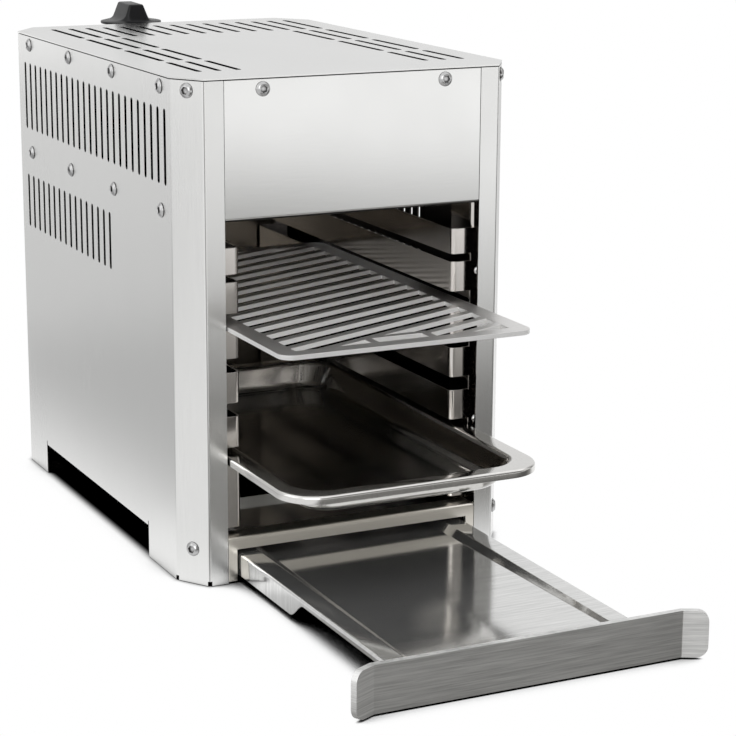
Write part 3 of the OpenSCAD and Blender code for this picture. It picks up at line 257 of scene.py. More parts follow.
class GrillFinish(bpy.types.PropertyGroup):
    """Colours of the finishes"""

    satin: tint("Satin steel", "Colour of the outer sheets", (0.80, 0.80, 0.79))
    warm: tint("Warm steel", "Colour of the drawer frame", (0.95, 0.91, 0.83))
    screw: tint("Screw steel", "Colour of the screws", (0.50, 0.50, 0.50))
    bright: tint("Bright steel", "Colour of the racks", (0.66, 0.63, 0.60))
    dark: tint("Heated steel", "Colour of the inner sheets", (0.15, 0.135, 0.115))
    # Painted shade: near-black colour laid on inner faces and in crevices, where shade falls
    painted_shade: tint("Painted shade", "Colour of inner faces and crevices", (0.035, 0.032, 0.03))
    tray: tint("Tray steel", "Colour of the tray", (0.74, 0.73, 0.71))
    grate: tint("Grate steel", "Colour of the grate", (0.80, 0.79, 0.78))
    # Pale tone of the grate's cut walls: partly their matt cut finish, partly painted light that makes them read
    # as lit
    wall: tint("Cut walls", "Colour of the cut walls of the grate", (0.96, 0.955, 0.94))
    brass: tint("Brass", "Colour of the valve and fittings", (0.72, 0.55, 0.27))
    copper: tint("Copper", "Colour of the gas pipe", (0.72, 0.40, 0.25))
    plastic: tint("Plastic", "Colour of the knob", (0.009, 0.009, 0.010))
    ceramic: tint("Ceramic", "Colour of the burner tiles", (0.82, 0.79, 0.73))
    # Painted shade that stands in for the inside of the flame holes
    hole: tint("Flame hole", "Colour of the flame holes", (0.03, 0.025, 0.02))


class GrillStage(bpy.types.PropertyGroup):
    """Camera and studio"""

    eye: FloatVectorProperty(name="Eye", description="Place of the camera", size=3, subtype="TRANSLATION",
                             default=(-0.61018, FRONT - 1.27085, 0.48602))
    yaw: angle("Yaw", "Turn of the camera to the right", 25.99)
    pitch: angle("Pitch", "Tilt of the camera", -14.06)
    roll: angle("Roll", "Roll of the camera", 0.29)
    lens: FloatProperty(name="Lens", description="Focal length on a 36 mm sensor", default=110.65, unit="CAMERA")
    floor: length("Floor", "Radius of the floor", 3.0)
    key: FloatProperty(name="Key", description="Power of the overhead lamp", default=14.0, unit="POWER")
    fill: FloatProperty(name="Fill", description="Power of the side lamps", default=5.0, unit="POWER")


# Surfaces


def fold_line(corners, radius, steps=7):
    """Polyline with round bends.

    Each corner turns by an angle; the bend starts a tangent length, radius times the tangent of half the angle,
    before it and runs on a circle. Returns run lengths, points and left normals at all bend stations.
    """
    c = np.asarray(corners, float)
    d = np.diff(c, axis=0)
    d /= np.linalg.norm(d, axis=1)[:, None]
    heading = np.unwrap(np.arctan2(d[:, 1], d[:, 0]))
    r = np.broadcast_to(np.asarray(radius, float), (len(c) - 2,))
    points, angles = [c[:1]], [heading[:1]]
    for i in range(1, len(c) - 1):
        turn = heading[i] - heading[i - 1]
        side = np.sign(turn)
        start = c[i] - d[i - 1] * r[i - 1] * math.tan(abs(turn) / 2)
        centre = start + side * r[i - 1] * np.array([-d[i - 1, 1], d[i - 1, 0]])
        a = heading[i - 1] + turn * np.linspace(0, 1, steps + 1)
        points.append(centre + side * r[i - 1] * np.column_stack([np.sin(a), -np.cos(a)]))
        angles.append(a)
    points = np.vstack(points + [c[-1:]])
    angles = np.concatenate(angles + [heading[-1:]])
    run = np.concatenate([[0], np.cumsum(np.linalg.norm(np.diff(points, axis=0), axis=1))])
    return run, points, np.column_stack([-np.sin(angles), np.cos(angles)])


def on_line(line, u):
    """Points and normals of a fold line at the run lengths u, straight between its stations."""
    run, p, n = line
    return (np.column_stack([np.interp(u, run, p[:, k]) for k in (0, 1)]),
            np.column_stack([np.interp(u, run, n[:, k]) for k in (0, 1)]))


def carried(flat, v, axes):
    """Profile points in two axes carried along the third, as in axes such as yzx."""
    out = np.empty((len(flat), 3))
    out[:, "xyz".index(axes[0])] = flat[:, 0]
    out[:, "xyz".index(axes[1])] = flat[:, 1]
    out[:, "xyz".index(axes[2])] = v
    return out


def lines_of(*values):
    """Sorted grid lines without doubles."""
    return np.unique(np.round(np.concatenate([np.ravel(v) for v in values]), 8))


def grid_faces(nu, nv):
    """Quads of a grid of nu by nv points, by cell."""
    i, j = np.meshgrid(np.arange(nu - 1), np.arange(nv - 1), indexing="ij")
    a = i * nv + j
    return np.stack([a, a + nv, a + nv + 1, a + 1], axis=-1)


def flat_pattern(u, v, cuts=(), slots=None, arc=5):
    """Flat sheet on grid lines u and v.

    Cells inside a cut rectangle (u0, u1, v0, v1) are left out. A slot row (u0, u1, v0, v1) with its long side
    along v has round ends: each of its four corner cells keeps a fan of triangles from the corner to the
    quarter circle, centre + r (cos a, sin a).
    """
    slots = np.empty((0, 4)) if slots is None else np.asarray(slots, float)
    r = (slots[:, 1] - slots[:, 0]) / 2
    mid = (slots[:, 0] + slots[:, 1]) / 2
    u = lines_of(u, slots[:, 0], mid, slots[:, 1])
    v = lines_of(v, slots[:, 2], slots[:, 2] + r, slots[:, 3] - r, slots[:, 3])
    nu, nv = len(u), len(v)
    uc = (u[1:] + u[:-1])[:, None, None] / 2
    vc = (v[1:] + v[:-1])[None, :, None] / 2
    gone = np.vstack([np.asarray(cuts, float).reshape(-1, 4), slots])
    hit = (uc > gone[:, 0]) & (uc < gone[:, 1]) & (vc > gone[:, 2]) & (vc < gone[:, 3])
    quads = grid_faces(nu, nv)[~hit.any(axis=2)]
    uv = np.stack(np.meshgrid(u, v, indexing="ij"), axis=-1).reshape(-1, 2)
    tris = NO_TRIANGLES
    if len(slots):
        def ids(a, b):
            return np.searchsorted(u, np.round(a, 8) - 1e-7) * nv + np.searchsorted(v, np.round(b, 8) - 1e-7)

        su = np.array([-1, 1, 1, -1])
        sv = np.array([-1, -1, 1, 1])
        cu = mid[:, None] + 0 * su
        cv = np.where(sv < 0, (slots[:, 2] + r)[:, None], (slots[:, 3] - r)[:, None])
        ru, rv = r[:, None] * su, r[:, None] * sv
        a = np.linspace(0, QUARTER, arc + 1)[1:-1]
        au = cu[..., None] + ru[..., None] * np.cos(a)
        av = cv[..., None] + rv[..., None] * np.sin(a)
        new = len(uv) + np.arange(au.size).reshape(au.shape)
        ring = np.concatenate([ids(cu + ru, cv)[..., None], new, ids(cu, cv + rv)[..., None]], axis=2)
        corner = np.broadcast_to(ids(cu + ru, cv + rv)[..., None], ring[..., 1:].shape)
        tris = np.stack([corner, ring[..., 1:], ring[..., :-1]], axis=-1)
        flip = (su * sv < 0)[None, :, None, None]
        tris = np.where(flip, tris[..., ::-1], tris).reshape(-1, 3)
        uv = np.vstack([uv, np.stack([au, av], axis=-1).reshape(-1, 2)])
    return uv, quads, tris


def walled(outer, inner, quads, tris):
    """Closed sheet between an outer and an inner skin on the same faces, with walls along the open edges.

    An edge is open where a single face uses it.
    """
    n = len(outer)
    e = np.vstack([np.stack([f, np.roll(f, -1, axis=1)], axis=-1).reshape(-1, 2) for f in (quads, tris) if len(f)])
    _, first, count = np.unique(np.sort(e, axis=1), axis=0, return_index=True, return_counts=True)
    e = e[first[count == 1]]
    walls = np.column_stack([e[:, 1], e[:, 0], e[:, 0] + n, e[:, 1] + n])
    return (np.vstack([outer, inner]), np.vstack([quads, quads[:, ::-1] + n, walls]),
            np.vstack([tris, tris[:, ::-1] + n]))


def folded_sheet(line, v, thick, axes, cuts=(), slots=None, u=()):
    """Flat pattern laid along a fold line: outer skin on the line, inner skin thick to its left."""
    uv, quads, tris = flat_pattern(lines_of(line[0], u), v, cuts, slots)
    p, n = on_line(line, uv[:, 0])
    return walled(carried(p, uv[:, 1], axes), carried(p + thick * n, uv[:, 1], axes), quads, tris)


def slab(low, high):
    """Box between two corners."""
    c = np.array([[x, y, z] for x in (low[0], high[0]) for y in (low[1], high[1]) for z in (low[2], high[2])])
    q = np.array([[0, 1, 3, 2], [4, 6, 7, 5], [0, 4, 5, 1], [2, 3, 7, 6], [0, 2, 6, 4], [1, 5, 7, 3]])
    return c, q, NO_TRIANGLES


def rings(stack, closed_ends=True):
    """Skin over a stack of rings with equal point counts; end rings are closed by a fan to their middle."""
    m, k = stack.shape[:2]
    i = np.arange(k)
    j = np.roll(i, -1)
    row = np.arange(m - 1)[:, None] * k
    quads = np.stack([row + i, row + j, row + j + k, row + i + k], axis=-1).reshape(-1, 4)
    points = stack.reshape(-1, 3)
    tris = NO_TRIANGLES
    if closed_ends:
        last = (m - 1) * k
        points = np.vstack([points, stack[0].mean(axis=0), stack[-1].mean(axis=0)])
        tris = np.vstack([np.column_stack([j, i, np.full(k, m * k)]),
                          np.column_stack([i + last, j + last, np.full(k, m * k + 1)])])
    return points, quads, tris


def round_angles(k):
    """Angles of k points around a circle."""
    return np.arange(k) * 2 * math.pi / k


def corner_angles(k):
    """Angles and side signs of four rounded corners with k points each, all the way round."""
    angles = np.concatenate([np.linspace(0, QUARTER, k) + n * QUARTER for n in range(4)])
    return angles, np.repeat([1, -1, -1, 1], k), np.repeat([1, 1, -1, -1], k)


def tube(points, radius, bend, k=20, steps=8):
    """Round rod along a path with round corners: rings of a circle in the frame that rolls along the path."""
    p = np.asarray(points, float)
    d = np.diff(p, axis=0)
    d /= np.linalg.norm(d, axis=1)[:, None]
    path, head = [p[:1]], [d[:1]]
    for i in range(1, len(p) - 1):
        turn = math.acos(float(np.clip(d[i - 1] @ d[i], -1, 1)))
        t = bend * math.tan(turn / 2)
        a = np.linspace(0, turn, steps + 1)[:, None]
        side = d[i] - (d[i] @ d[i - 1]) * d[i - 1]
        side /= np.linalg.norm(side)
        path.append(p[i] - t * d[i - 1] + bend * (np.sin(a) * d[i - 1] + (1 - np.cos(a)) * side))
        head.append(np.cos(a) * d[i - 1] + np.sin(a) * side)
    path = np.vstack(path + [p[-1:]])
    head = np.vstack(head + [d[-1:]])
    normal = [np.cross(head[0], [0.31, 0.52, 0.79])]
    for h in head[1:]:
        normal.append(normal[-1] - (normal[-1] @ h) * h)
    normal = np.array(normal)
    normal /= np.linalg.norm(normal, axis=1)[:, None]
    other = np.cross(head, normal)
    a = round_angles(k)[None, :, None]
    return rings(path[:, None] + radius * (np.cos(a) * normal[:, None] + np.sin(a) * other[:, None]))


def mirrored(part):
    """The same part on the other side of the middle plane."""
    p, q, t = part
    return p * np.array([-1, 1, 1]), q[:, ::-1], t[:, ::-1]


def placed(part, spots):
    """Copies of a part at 4 by 4 places, as one part."""
    p, q, t = part
    m = np.asarray(spots, float)
    points = np.einsum("sij,pj->spi", m[:, :3, :3], p) + m[:, None, :3, 3]
    shift = (np.arange(len(m)) * len(p))[:, None, None]
    return points.reshape(-1, 3), (q + shift).reshape(-1, 4), (t + shift).reshape(-1, 3)


# Objects


def new_piece(name, mesh, body, nodes, finish, soft, sharp=38):
    """Object of a mesh that rides on a body, stands for CAD nodes and has softened edges."""
    work = bmesh.new()
    work.from_mesh(mesh)
    bmesh.ops.recalc_face_normals(work, faces=work.faces)
    work.to_mesh(mesh)
    work.free()
    mesh.polygons.foreach_set("use_smooth", np.ones(len(mesh.polygons), bool))
    mesh.set_sharp_from_angle(angle=math.radians(sharp))
    mesh.materials.clear()
    mesh.materials.append(finish)
    piece = bpy.data.objects.new(name, mesh)
    bpy.context.scene.collection.objects.link(piece)
    if soft:
        rounding = piece.modifiers.new("edges", "BEVEL")
        rounding.width = soft
        rounding.segments = 2
        rounding.limit_method = "ANGLE"
        rounding.angle_limit = math.radians(sharp)
        rounding.harden_normals = True
        rounding.miter_outer = "MITER_SHARP"
    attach(piece, body)
    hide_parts(*nodes)
    return piece


def piece_of(name, parts, body, nodes, finish, soft=0.0, sharp=38):
    """Object of one or more point and face sets."""
    points, faces, start = [], [], 0
    for p, q, t in parts:
        points.append(p)
        faces += (q + start).tolist() + (t + start).tolist()
        start += len(p)
    mesh = bpy.data.meshes.new(name)
    mesh.from_pydata(np.vstack(points).tolist(), [], faces)
    work = bmesh.new()
    work.from_mesh(mesh)
    loose = [v for v in work.verts if not v.link_faces]
    bmesh.ops.delete(work, geom=loose, context="VERTS")
    work.to_mesh(mesh)
    work.free()
    return new_piece(name, mesh, body, nodes, finish, soft, sharp)


def both_sides(name, node, parts, finish, soft):
    """A left piece of the housing and its mirror image on the right."""
    for side, made in (("left", parts), ("right", [mirrored(part) for part in parts])):
        piece_of(f"{side}_{name}", made, "housing", [f"{side}_{node}"], finish, soft)


def softened(node, body, finish, soft, name=None, moved=None):
    """Object of a CAD node's own shape: its loose triangles merged, flat faces joined, edges rounded.

    A function moved takes the points and gives their new places.
    """
    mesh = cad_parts[node].data.copy()
    work = bmesh.new()
    work.from_mesh(mesh)
    bmesh.ops.remove_doubles(work, verts=work.verts, dist=0.002 * MM)
    bmesh.ops.dissolve_limit(work, angle_limit=math.radians(0.4), verts=work.verts, edges=work.edges)
    work.to_mesh(mesh)
    work.free()
    if moved:
        points = np.empty(3 * len(mesh.vertices), np.float32)
        mesh.vertices.foreach_get("co", points)
        mesh.vertices.foreach_set("co", moved(points.reshape(-1, 3)).ravel())
    return new_piece(name or node + "_piece", mesh, body, [node], finish, soft)


# Finishes


def solid(colour, level=1.0):
    """Opaque colour at a share of its level, no channel above white."""
    return (*[min(1, c * level) for c in colour], 1)


class Wiring:
    """Adds shader nodes to a tree; each method gives the new node's output."""

    def __init__(self, tree):
        self.tree = tree

    def feed(self, inputs, values):
        """Links the sockets among the values to inputs of that name or number and sets the other values."""
        for key, value in values.items():
            if isinstance(value, bpy.types.NodeSocket):
                self.tree.links.new(value, inputs[key])
            elif value is not None:
                inputs[key].default_value = value

    def put(self, kind, *ins, out=0, **values):
        """New node: ins feed its inputs in order, values its inputs of that name or else its settings."""
        made = self.tree.nodes.new("ShaderNode" + kind)
        named = {key: value for key, value in values.items() if key in made.inputs}
        for key in values.keys() - named.keys():
            setattr(made, key, values[key])
        self.feed(made.inputs, named)
        self.feed(made.inputs, dict(enumerate(ins)))
        return made.outputs[out] if made.outputs else made

    def math(self, operation, *ins):
        """Sum, product or the like of one to three values."""
        return self.put("Math", *ins, operation=operation)

    def span(self, value, low, high, start=0.0, end=1.0, kind="LINEAR"):
        """Value brought from low..high to start..end."""
        return self.put("MapRange", value, low, high, start, end, interpolation_type=kind)

    def ease(self, value, low, high, start=0.0, end=1.0):
        """Value brought from low..high to start..end with soft ends."""
        return self.span(value, low, high, start, end, "SMOOTHSTEP")

    def blend(self, share, first, second):
        """Colour between two colours."""
        return self.put("Mix", share, *[None] * 5, first, second, out=2, data_type="RGBA")

    def place(self, kind="Object"):
        """Point or normal of the surface."""
        return self.put("TexCoord", out=kind)

    def axis(self, vector, name):
        """One coordinate of a vector."""
        return self.put("SeparateXYZ", vector, out=name)

    def noise(self, vector, scale, detail, rough):
        """Fractal noise."""
        return self.put("TexNoise", vector, Scale=scale, Detail=detail, Roughness=rough, out="Fac")

    def ray(self, name):
        """Whether a ray is of the named kind."""
        return self.put("LightPath", out=name)

    def shown(self, light, mirror, camera):
        """Shader that shows one face to light, one to metal and glass, and one to the camera."""
        bright = self.math("MAXIMUM", self.ray("Is Glossy Ray"), self.ray("Is Transmission Ray"))
        unseen = self.put("MixShader", bright, light, mirror)
        return self.put("MixShader", self.ray("Is Camera Ray"), unseen, camera)


def shader(name):
    """New material with the inputs of its principled shader and its wiring."""
    material = bpy.data.materials.new(name)
    material.use_nodes = True
    return material, material.node_tree.nodes["Principled BSDF"].inputs, Wiring(material.node_tree)


def graded(wire, source, stops, peak, warm=(1.0, 0.985, 0.95)):
    """Colour ramp over a value with stops of (value, level) rows, as a share of the peak; dim stops are warm."""
    low, high = stops[0][0], stops[-1][0]
    colour = wire.put("ValToRGB", wire.span(source, low, high))
    colour.node.color_ramp.interpolation = "EASE"
    elements = colour.node.color_ramp.elements
    while len(elements) < len(stops):
        elements.new(0.5)
    for element, (value, level) in zip(elements, stops):
        element.position = (value - low) / (high - low)
        element.color = (*[level / peak * (c if level < 0.5 else 1) for c in warm], 1)
    return colour


def skin_depth(wire):
    """Depth of a point below the body's outline: its smallest distance to the planes of the outline."""
    s = bpy.context.scene.grill_body
    planes = [((1, 0), (HALF, 0)), ((0, -1), (0, FRONT)), ((0, 1), (0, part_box("rear_panel")[1].y)),
              ((s.front_y, -s.front_x), (HALF, FRONT + s.front_y)),
              ((s.rear_y, s.rear_x), (HALF, REAR - s.rear_y))]
    where = wire.place()
    folded = wire.put("VectorMath", where, operation="ABSOLUTE")
    point = wire.put("CombineXYZ", wire.axis(folded, "X"), wire.axis(where, "Y"))
    depth = wire.math("SUBTRACT", TOP, wire.axis(where, "Z"))
    for normal, on in planes:
        n = Vector(normal).normalized()
        reach = wire.put("VectorMath", point, (*n, 0), operation="DOT_PRODUCT", out="Value")
        depth = wire.math("MINIMUM", depth, wire.math("SUBTRACT", n.dot(on), reach))
    return depth


def crevice(wire):
    """Closeness to other surfaces, from the light that a point gets from around it."""
    return wire.math("SUBTRACT", 1.0, wire.put("AmbientOcclusion", samples=8, Distance=2.2 * MM, out="AO"))


def steel(name, colour, rough, grain, spread=0.06, bump=0.03, smear=0.05, drawn=0.0, painted_shade_at=None, metal=1.0):
    """Brushed metal: noise drawn out along the brushing gives tone, roughness and fine relief; a slow one smears.

    A painted shade of (measure, low, high) turns the tone towards the near-black painted shade colour where the
    measure rises from low to high.
    """
    material, surface, wire = shader(name)
    where = wire.place()
    fine = wire.noise(wire.put("Mapping", where, Scale=grain), 1.0, 5.0, 0.62)
    cloud = wire.noise(where, 11.0, 3.0, 0.5)
    tone = wire.blend(wire.span(fine, 0.3, 0.7), solid(colour, 1 - spread), solid(colour, 1 + spread))
    # Painted shade: the tone is blended towards the near-black painted shade colour where the measure rises
    if painted_shade_at:
        measure, low, high = painted_shade_at
        tone = wire.blend(wire.span(measure(wire), low, high), tone, solid(bpy.context.scene.grill_finish.painted_shade))
    smudge = wire.math("MULTIPLY_ADD", cloud, 0.6, wire.math("MULTIPLY", fine, 0.4))
    gloss = wire.span(smudge, 0.25, 0.75, max(0.04, rough - smear), rough + smear)
    relief = wire.put("Bump", Strength=bump, Distance=0.2 * MM, Height=fine)
    wire.feed(surface, {"Metallic": metal, "Base Color": tone, "Roughness": gloss, "Normal": relief})
    if drawn:
        wire.feed(surface, {"Anisotropic": drawn, "Tangent": wire.put("CombineXYZ", Z=1.0)})
    return material


def cut_walls(material, colour):
    """The same finish with pale matt walls: metal only where the surface faces up or down. The pale tone of the
    walls is partly a matt cut finish and partly painted light.
    """
    surface, wire = material.node_tree.nodes["Principled BSDF"].inputs, Wiring(material.node_tree)
    flat = wire.ease(wire.math("ABSOLUTE", wire.axis(wire.place("Normal"), "Z")), 0.15, 0.6)
    before = surface["Base Color"].links[0].from_socket
    # Painted light: upright faces take a near-white matt colour so that they look lit
    wire.feed(surface, {"Base Color": wire.blend(flat, solid(colour), before),
                        "Metallic": wire.span(flat, 0.0, 1.0, 0.15)})
    return material


def moulded(name, colour, rough, grain=1400.0, bump=0.06, speck=0.25, shine=0.5):
    """Moulded or fired surface: fine noise as grain with a slight change of tone."""
    material, surface, wire = shader(name)
    where = wire.place()
    slow = wire.noise(where, 60.0, 4.0, 0.55)
    relief = wire.put("Bump", Strength=bump, Distance=0.3 * MM, Height=wire.noise(where, grain, 3.0, 0.6))
    tone = wire.blend(slow, solid(colour, 1 - speck), solid(colour, 1 + speck))
    gloss = wire.span(slow, 0.0, 1.0, rough - 0.08, rough + 0.08)
    wire.feed(surface, {"Specular IOR Level": shine, "Base Color": tone, "Roughness": gloss, "Normal": relief})
    return material


def pierced_ceramic(name, colour, hole):
    """Fired clay with rows of small flame holes as painted shade: dark near the points of an even lattice."""
    material = moulded(name, colour, 0.75, 900.0, 0.1, 0.06)
    surface, wire = material.node_tree.nodes["Principled BSDF"].inputs, Wiring(material.node_tree)
    lattice = wire.put("TexVoronoi", Vector=wire.place(), Scale=420.0, Randomness=0.0, out="Distance")
    before = surface["Base Color"].links[0].from_socket
    wire.feed(surface, {"Base Color": wire.blend(wire.span(lattice, 0.18, 0.3), solid(hole), before)})
    return material


def finish_of(kind):
    """The named finish, made once."""
    if kind in bpy.data.materials:
        return bpy.data.materials[kind]
    f = bpy.context.scene.grill_finish
    upright, across, deep, even = (2600, 2600, 40), (40, 2600, 2600), (2600, 40, 2600), (900, 900, 900)
    # Painted shade on faces that lie inside the body's outline, such as the inner faces of the outer sheets and
    # the lid flanges
    inside = (skin_depth, 0.12 * MM, 0.35 * MM)
    makers = {
        "satin_steel": lambda: steel(kind, f.satin, 0.25, upright, 0.03, 0.02, painted_shade_at=inside),
        "front_steel": lambda: steel(kind, f.satin, 0.20, across, 0.03, 0.02, painted_shade_at=inside),
        "lid_steel": lambda: steel(kind, f.satin, 0.22, deep, 0.03, 0.02, painted_shade_at=inside),
        "frame_steel": lambda: steel(kind, f.warm, 0.30, across, 0.04, 0.02),
        "rack_steel": lambda: steel(kind, f.bright, 0.13, deep, 0.05, 0.015),
        "heated_steel": lambda: steel(kind, f.dark, 0.25, across, 0.10, 0.03),
        "tray_steel": lambda: steel(kind, f.tray, 0.12, (500, 500, 500), 0.03, 0.01),
        "grate_steel": lambda: cut_walls(steel(kind, f.grate, 0.40, across, 0.05, 0.03), f.wall),
        "drawer_steel": lambda: steel(kind, f.satin, 0.10, (30, 900, 30), 0.14, 0.03, 0.03, metal=0.86),
        "handle_steel": lambda: steel(kind, f.satin, 0.42, (30, 30, 1100), 0.22, 0.05, 0.05, 0.85),
        # Painted shade in the hex sockets and round the screw heads, where the crevice measure rises
        "screw_steel": lambda: steel(kind, f.screw, 0.16, even, 0.04, 0.01, painted_shade_at=(crevice, 0.15, 0.5)),
        "brass_metal": lambda: steel(kind, f.brass, 0.28, even, 0.08, 0.03),
        "copper_metal": lambda: steel(kind, f.copper, 0.30, (700, 700, 700), 0.12, 0.03),
        "knob_plastic": lambda: moulded(kind, f.plastic, 0.36, shine=0.22),
        "lead_rubber": lambda: moulded(kind, f.plastic, 0.55, 900.0, 0.05),
        "fired_ceramic": lambda: moulded(kind, f.ceramic, 0.6, 1200.0, 0.08, 0.05),
        "tile_ceramic": lambda: pierced_ceramic(kind, f.ceramic, f.hole),
    }
    return makers[kind]()


# Operators


class GrillSides(bpy.types.Operator):
    """Folded side panels with slots, chamfers and feet"""

    bl_idname = "grill.sides"
    bl_label = "Side panels"

    def execute(self, context):
        s, w = context.scene.grill_body, context.scene.grill_vents
        front_bend, side_bend = (-HALF + s.front_x, FRONT), (-HALF, FRONT + s.front_y)
        line = fold_line([(-HALF + s.front_x + s.strip, FRONT), front_bend, side_bend, (-HALF, REAR - s.rear_y),
                          (-HALF + s.rear_x, REAR), (-HALF + s.rear_x + s.rear_strip, REAR)], s.bend)
        run, p, _ = line

        def at(y):
            return np.interp(y, p[1:-1, 1], run[1:-1])

        last = REAR - s.rear_y - w.edge
        pitch = (last - FRONT - s.front_y - w.front) / (w.upper - 1)
        rows = []
        for count, drop, tall in ((w.upper, w.upper_drop, w.upper_l), (w.lower, w.lower_drop, w.lower_l)):
            mid = at(last - np.arange(count) * pitch)
            rows.append(np.column_stack([mid - w.width / 2, mid + w.width / 2,
                                         np.full(count, TOP - drop - tall), np.full(count, TOP - drop)]))
        cut0, cut1 = FRONT + s.front_foot, REAR - s.rear_foot
        cuts = [(at(cut0), at(cut1), -1, s.foot), (at(cut0), at(cut0) + s.slit, -1, s.foot + s.relief),
                (at(cut1) - s.slit, at(cut1), -1, s.foot + s.relief)]
        for corner in (front_bend, side_bend):
            b = run[np.argmin(np.hypot(*(p - corner).T))]
            cuts.append((b - s.relief / 2, b + s.relief / 2, -1, s.relief))
        u = np.array(cuts)[:, :2]
        v = [0, s.relief, s.foot, s.foot + s.relief, TOP - s.sheet - s.lap]
        left = [folded_sheet(line, v, -s.sheet, "xyz", cuts, np.vstack(rows), u)]
        for y, deep in ((cut0 - s.front_in, s.flange), (cut1 + s.rear_in, s.rear_flange)):
            left.append(slab((-HALF + s.sheet * TUCK, y - deep, 0), (-HALF + s.flange, y, s.sheet)))
        both_sides("side", "side_panel", left, finish_of("satin_steel"), s.soft)
        return {"FINISHED"}


class GrillLid(bpy.types.Operator):
    """Lid plate with rows of slots and flanges"""

    bl_idname = "grill.lid"
    bl_label = "Lid"

    def execute(self, context):
        s, w = context.scene.grill_body, context.scene.grill_vents
        x = w.lid_shift + (np.arange(w.lid_count) - (w.lid_count - 1) / 2) * w.lid_pitch
        row_l = (REAR - FRONT - w.lid_edge - w.lid_first - 3 * w.lid_web - w.lid_rear) / 3
        y1 = FRONT + w.lid_edge + w.lid_first + w.lid_web
        outer = np.concatenate([x[:3], x[-3:]])
        rows = [(outer, FRONT + w.lid_edge, w.lid_first)]
        rows += [(xs, y1 + k * (row_l + w.lid_web), row_l) for k, xs in enumerate((outer, outer, x))]
        slots = np.vstack([np.column_stack([xs - w.width / 2, xs + w.width / 2, np.full(len(xs), y),
                                            np.full(len(xs), y + l)]) for xs, y, l in rows])
        knee = s.lid_knee
        u = [-HALF, -HALF + s.front_x, -HALF + s.rear_x, HALF - s.rear_x, HALF - s.front_x, HALF]
        uv, quads, tris = flat_pattern(u, [FRONT, FRONT + knee, REAR], (), slots)
        px, py = uv[:, 0], uv[:, 1].copy()
        front_cut = np.clip((np.abs(px) - HALF + s.front_x) / s.front_x, 0, 1) * s.front_y
        rear_cut = np.clip((np.abs(px) - HALF + s.rear_x) / s.rear_x, 0, 1) * s.rear_y
        py += front_cut * np.clip((FRONT + knee - py) / knee, 0, 1)
        py -= rear_cut * np.clip((py - REAR + knee) / knee, 0, 1)
        top = np.column_stack([px, py, np.full(len(px), TOP)])
        plate = walled(top, top - [0, 0, s.lid_sheet], quads, tris)
        z0, z1 = TOP - s.sheet - s.lid_flange, TOP - s.lid_sheet / 2
        inner = HALF - s.sheet - s.lap
        side = slab((-inner, FRONT + s.front_y + s.trim, z0), (-inner + s.sheet, REAR - s.rear_y - s.trim, z1))
        half = HALF - s.front_x - s.strip - s.trim
        front, back = FRONT + s.sheet + s.lap, REAR - 2 * s.sheet - 2 * s.lap
        parts = [plate, side, mirrored(side), slab((-half, front, z0), (half, front + s.sheet, z1)),
                 slab((-half, back - s.sheet, z0), (half, back, z1))]
        piece_of("lid_plate", parts, "housing", ["lid"], finish_of("lid_steel"), s.lid_soft)
        return {"FINISHED"}


class GrillFront(bpy.types.Operator):
    """Fascia with folded lower edge, and drawer frame with its mouth"""

    bl_idname = "grill.front"
    bl_label = "Fascia and drawer frame"

    def execute(self, context):
        s = context.scene.grill_body
        low, high = FASCIA
        line = fold_line([(FRONT, high.z), (FRONT, low.z), (FRONT + s.fascia_fold, low.z)], s.bend)
        sheet = folded_sheet(line, [low.x, high.x], s.sheet, "yzx")
        piece_of("fascia_sheet", [sheet], "housing", ["front_fascia"], finish_of("front_steel"),
                 s.soft)

        half = FASCIA[1].x
        low, high = FRAME[0].z, FRAME[1].z
        mouth = half - s.frame_leg
        line = fold_line([(FRONT, low), (FRONT, high), (FRONT + s.frame_fold, high)], s.bend)
        bar = high - s.frame_bar - low
        sheet = folded_sheet(line, [-half, -mouth, mouth, half], -s.sheet, "yzx",
                             [(-1, bar, -mouth, mouth)], None, [bar])
        chamfer = np.array([-s.front_x, s.front_y])
        deep = np.hypot(*chamfer)
        turn = math.atan2(s.front_x, s.front_y)
        inset = s.sheet + s.lap
        knee = np.array([-HALF + s.front_x + inset * math.tan(QUARTER / 2 - turn / 2), FRONT + inset])
        ear = fold_line([(-half, FRONT + inset), knee, knee + chamfer / deep * (deep - s.trim)], s.ear_bend)
        ears = folded_sheet(ear, [s.ear_foot, high], -s.sheet, "xyz")
        root = slab((-half, FRONT + s.sheet * TUCK, s.ear_foot),
                    (-mouth, FRONT + s.sheet + inset, high - s.sheet * TUCK))
        parts = [sheet, ears, root, mirrored(ears), mirrored(root)]
        piece_of("drawer_frame_sheet", parts, "housing", ["drawer_frame"], finish_of("frame_steel"),
                 s.soft)
        return {"FINISHED"}


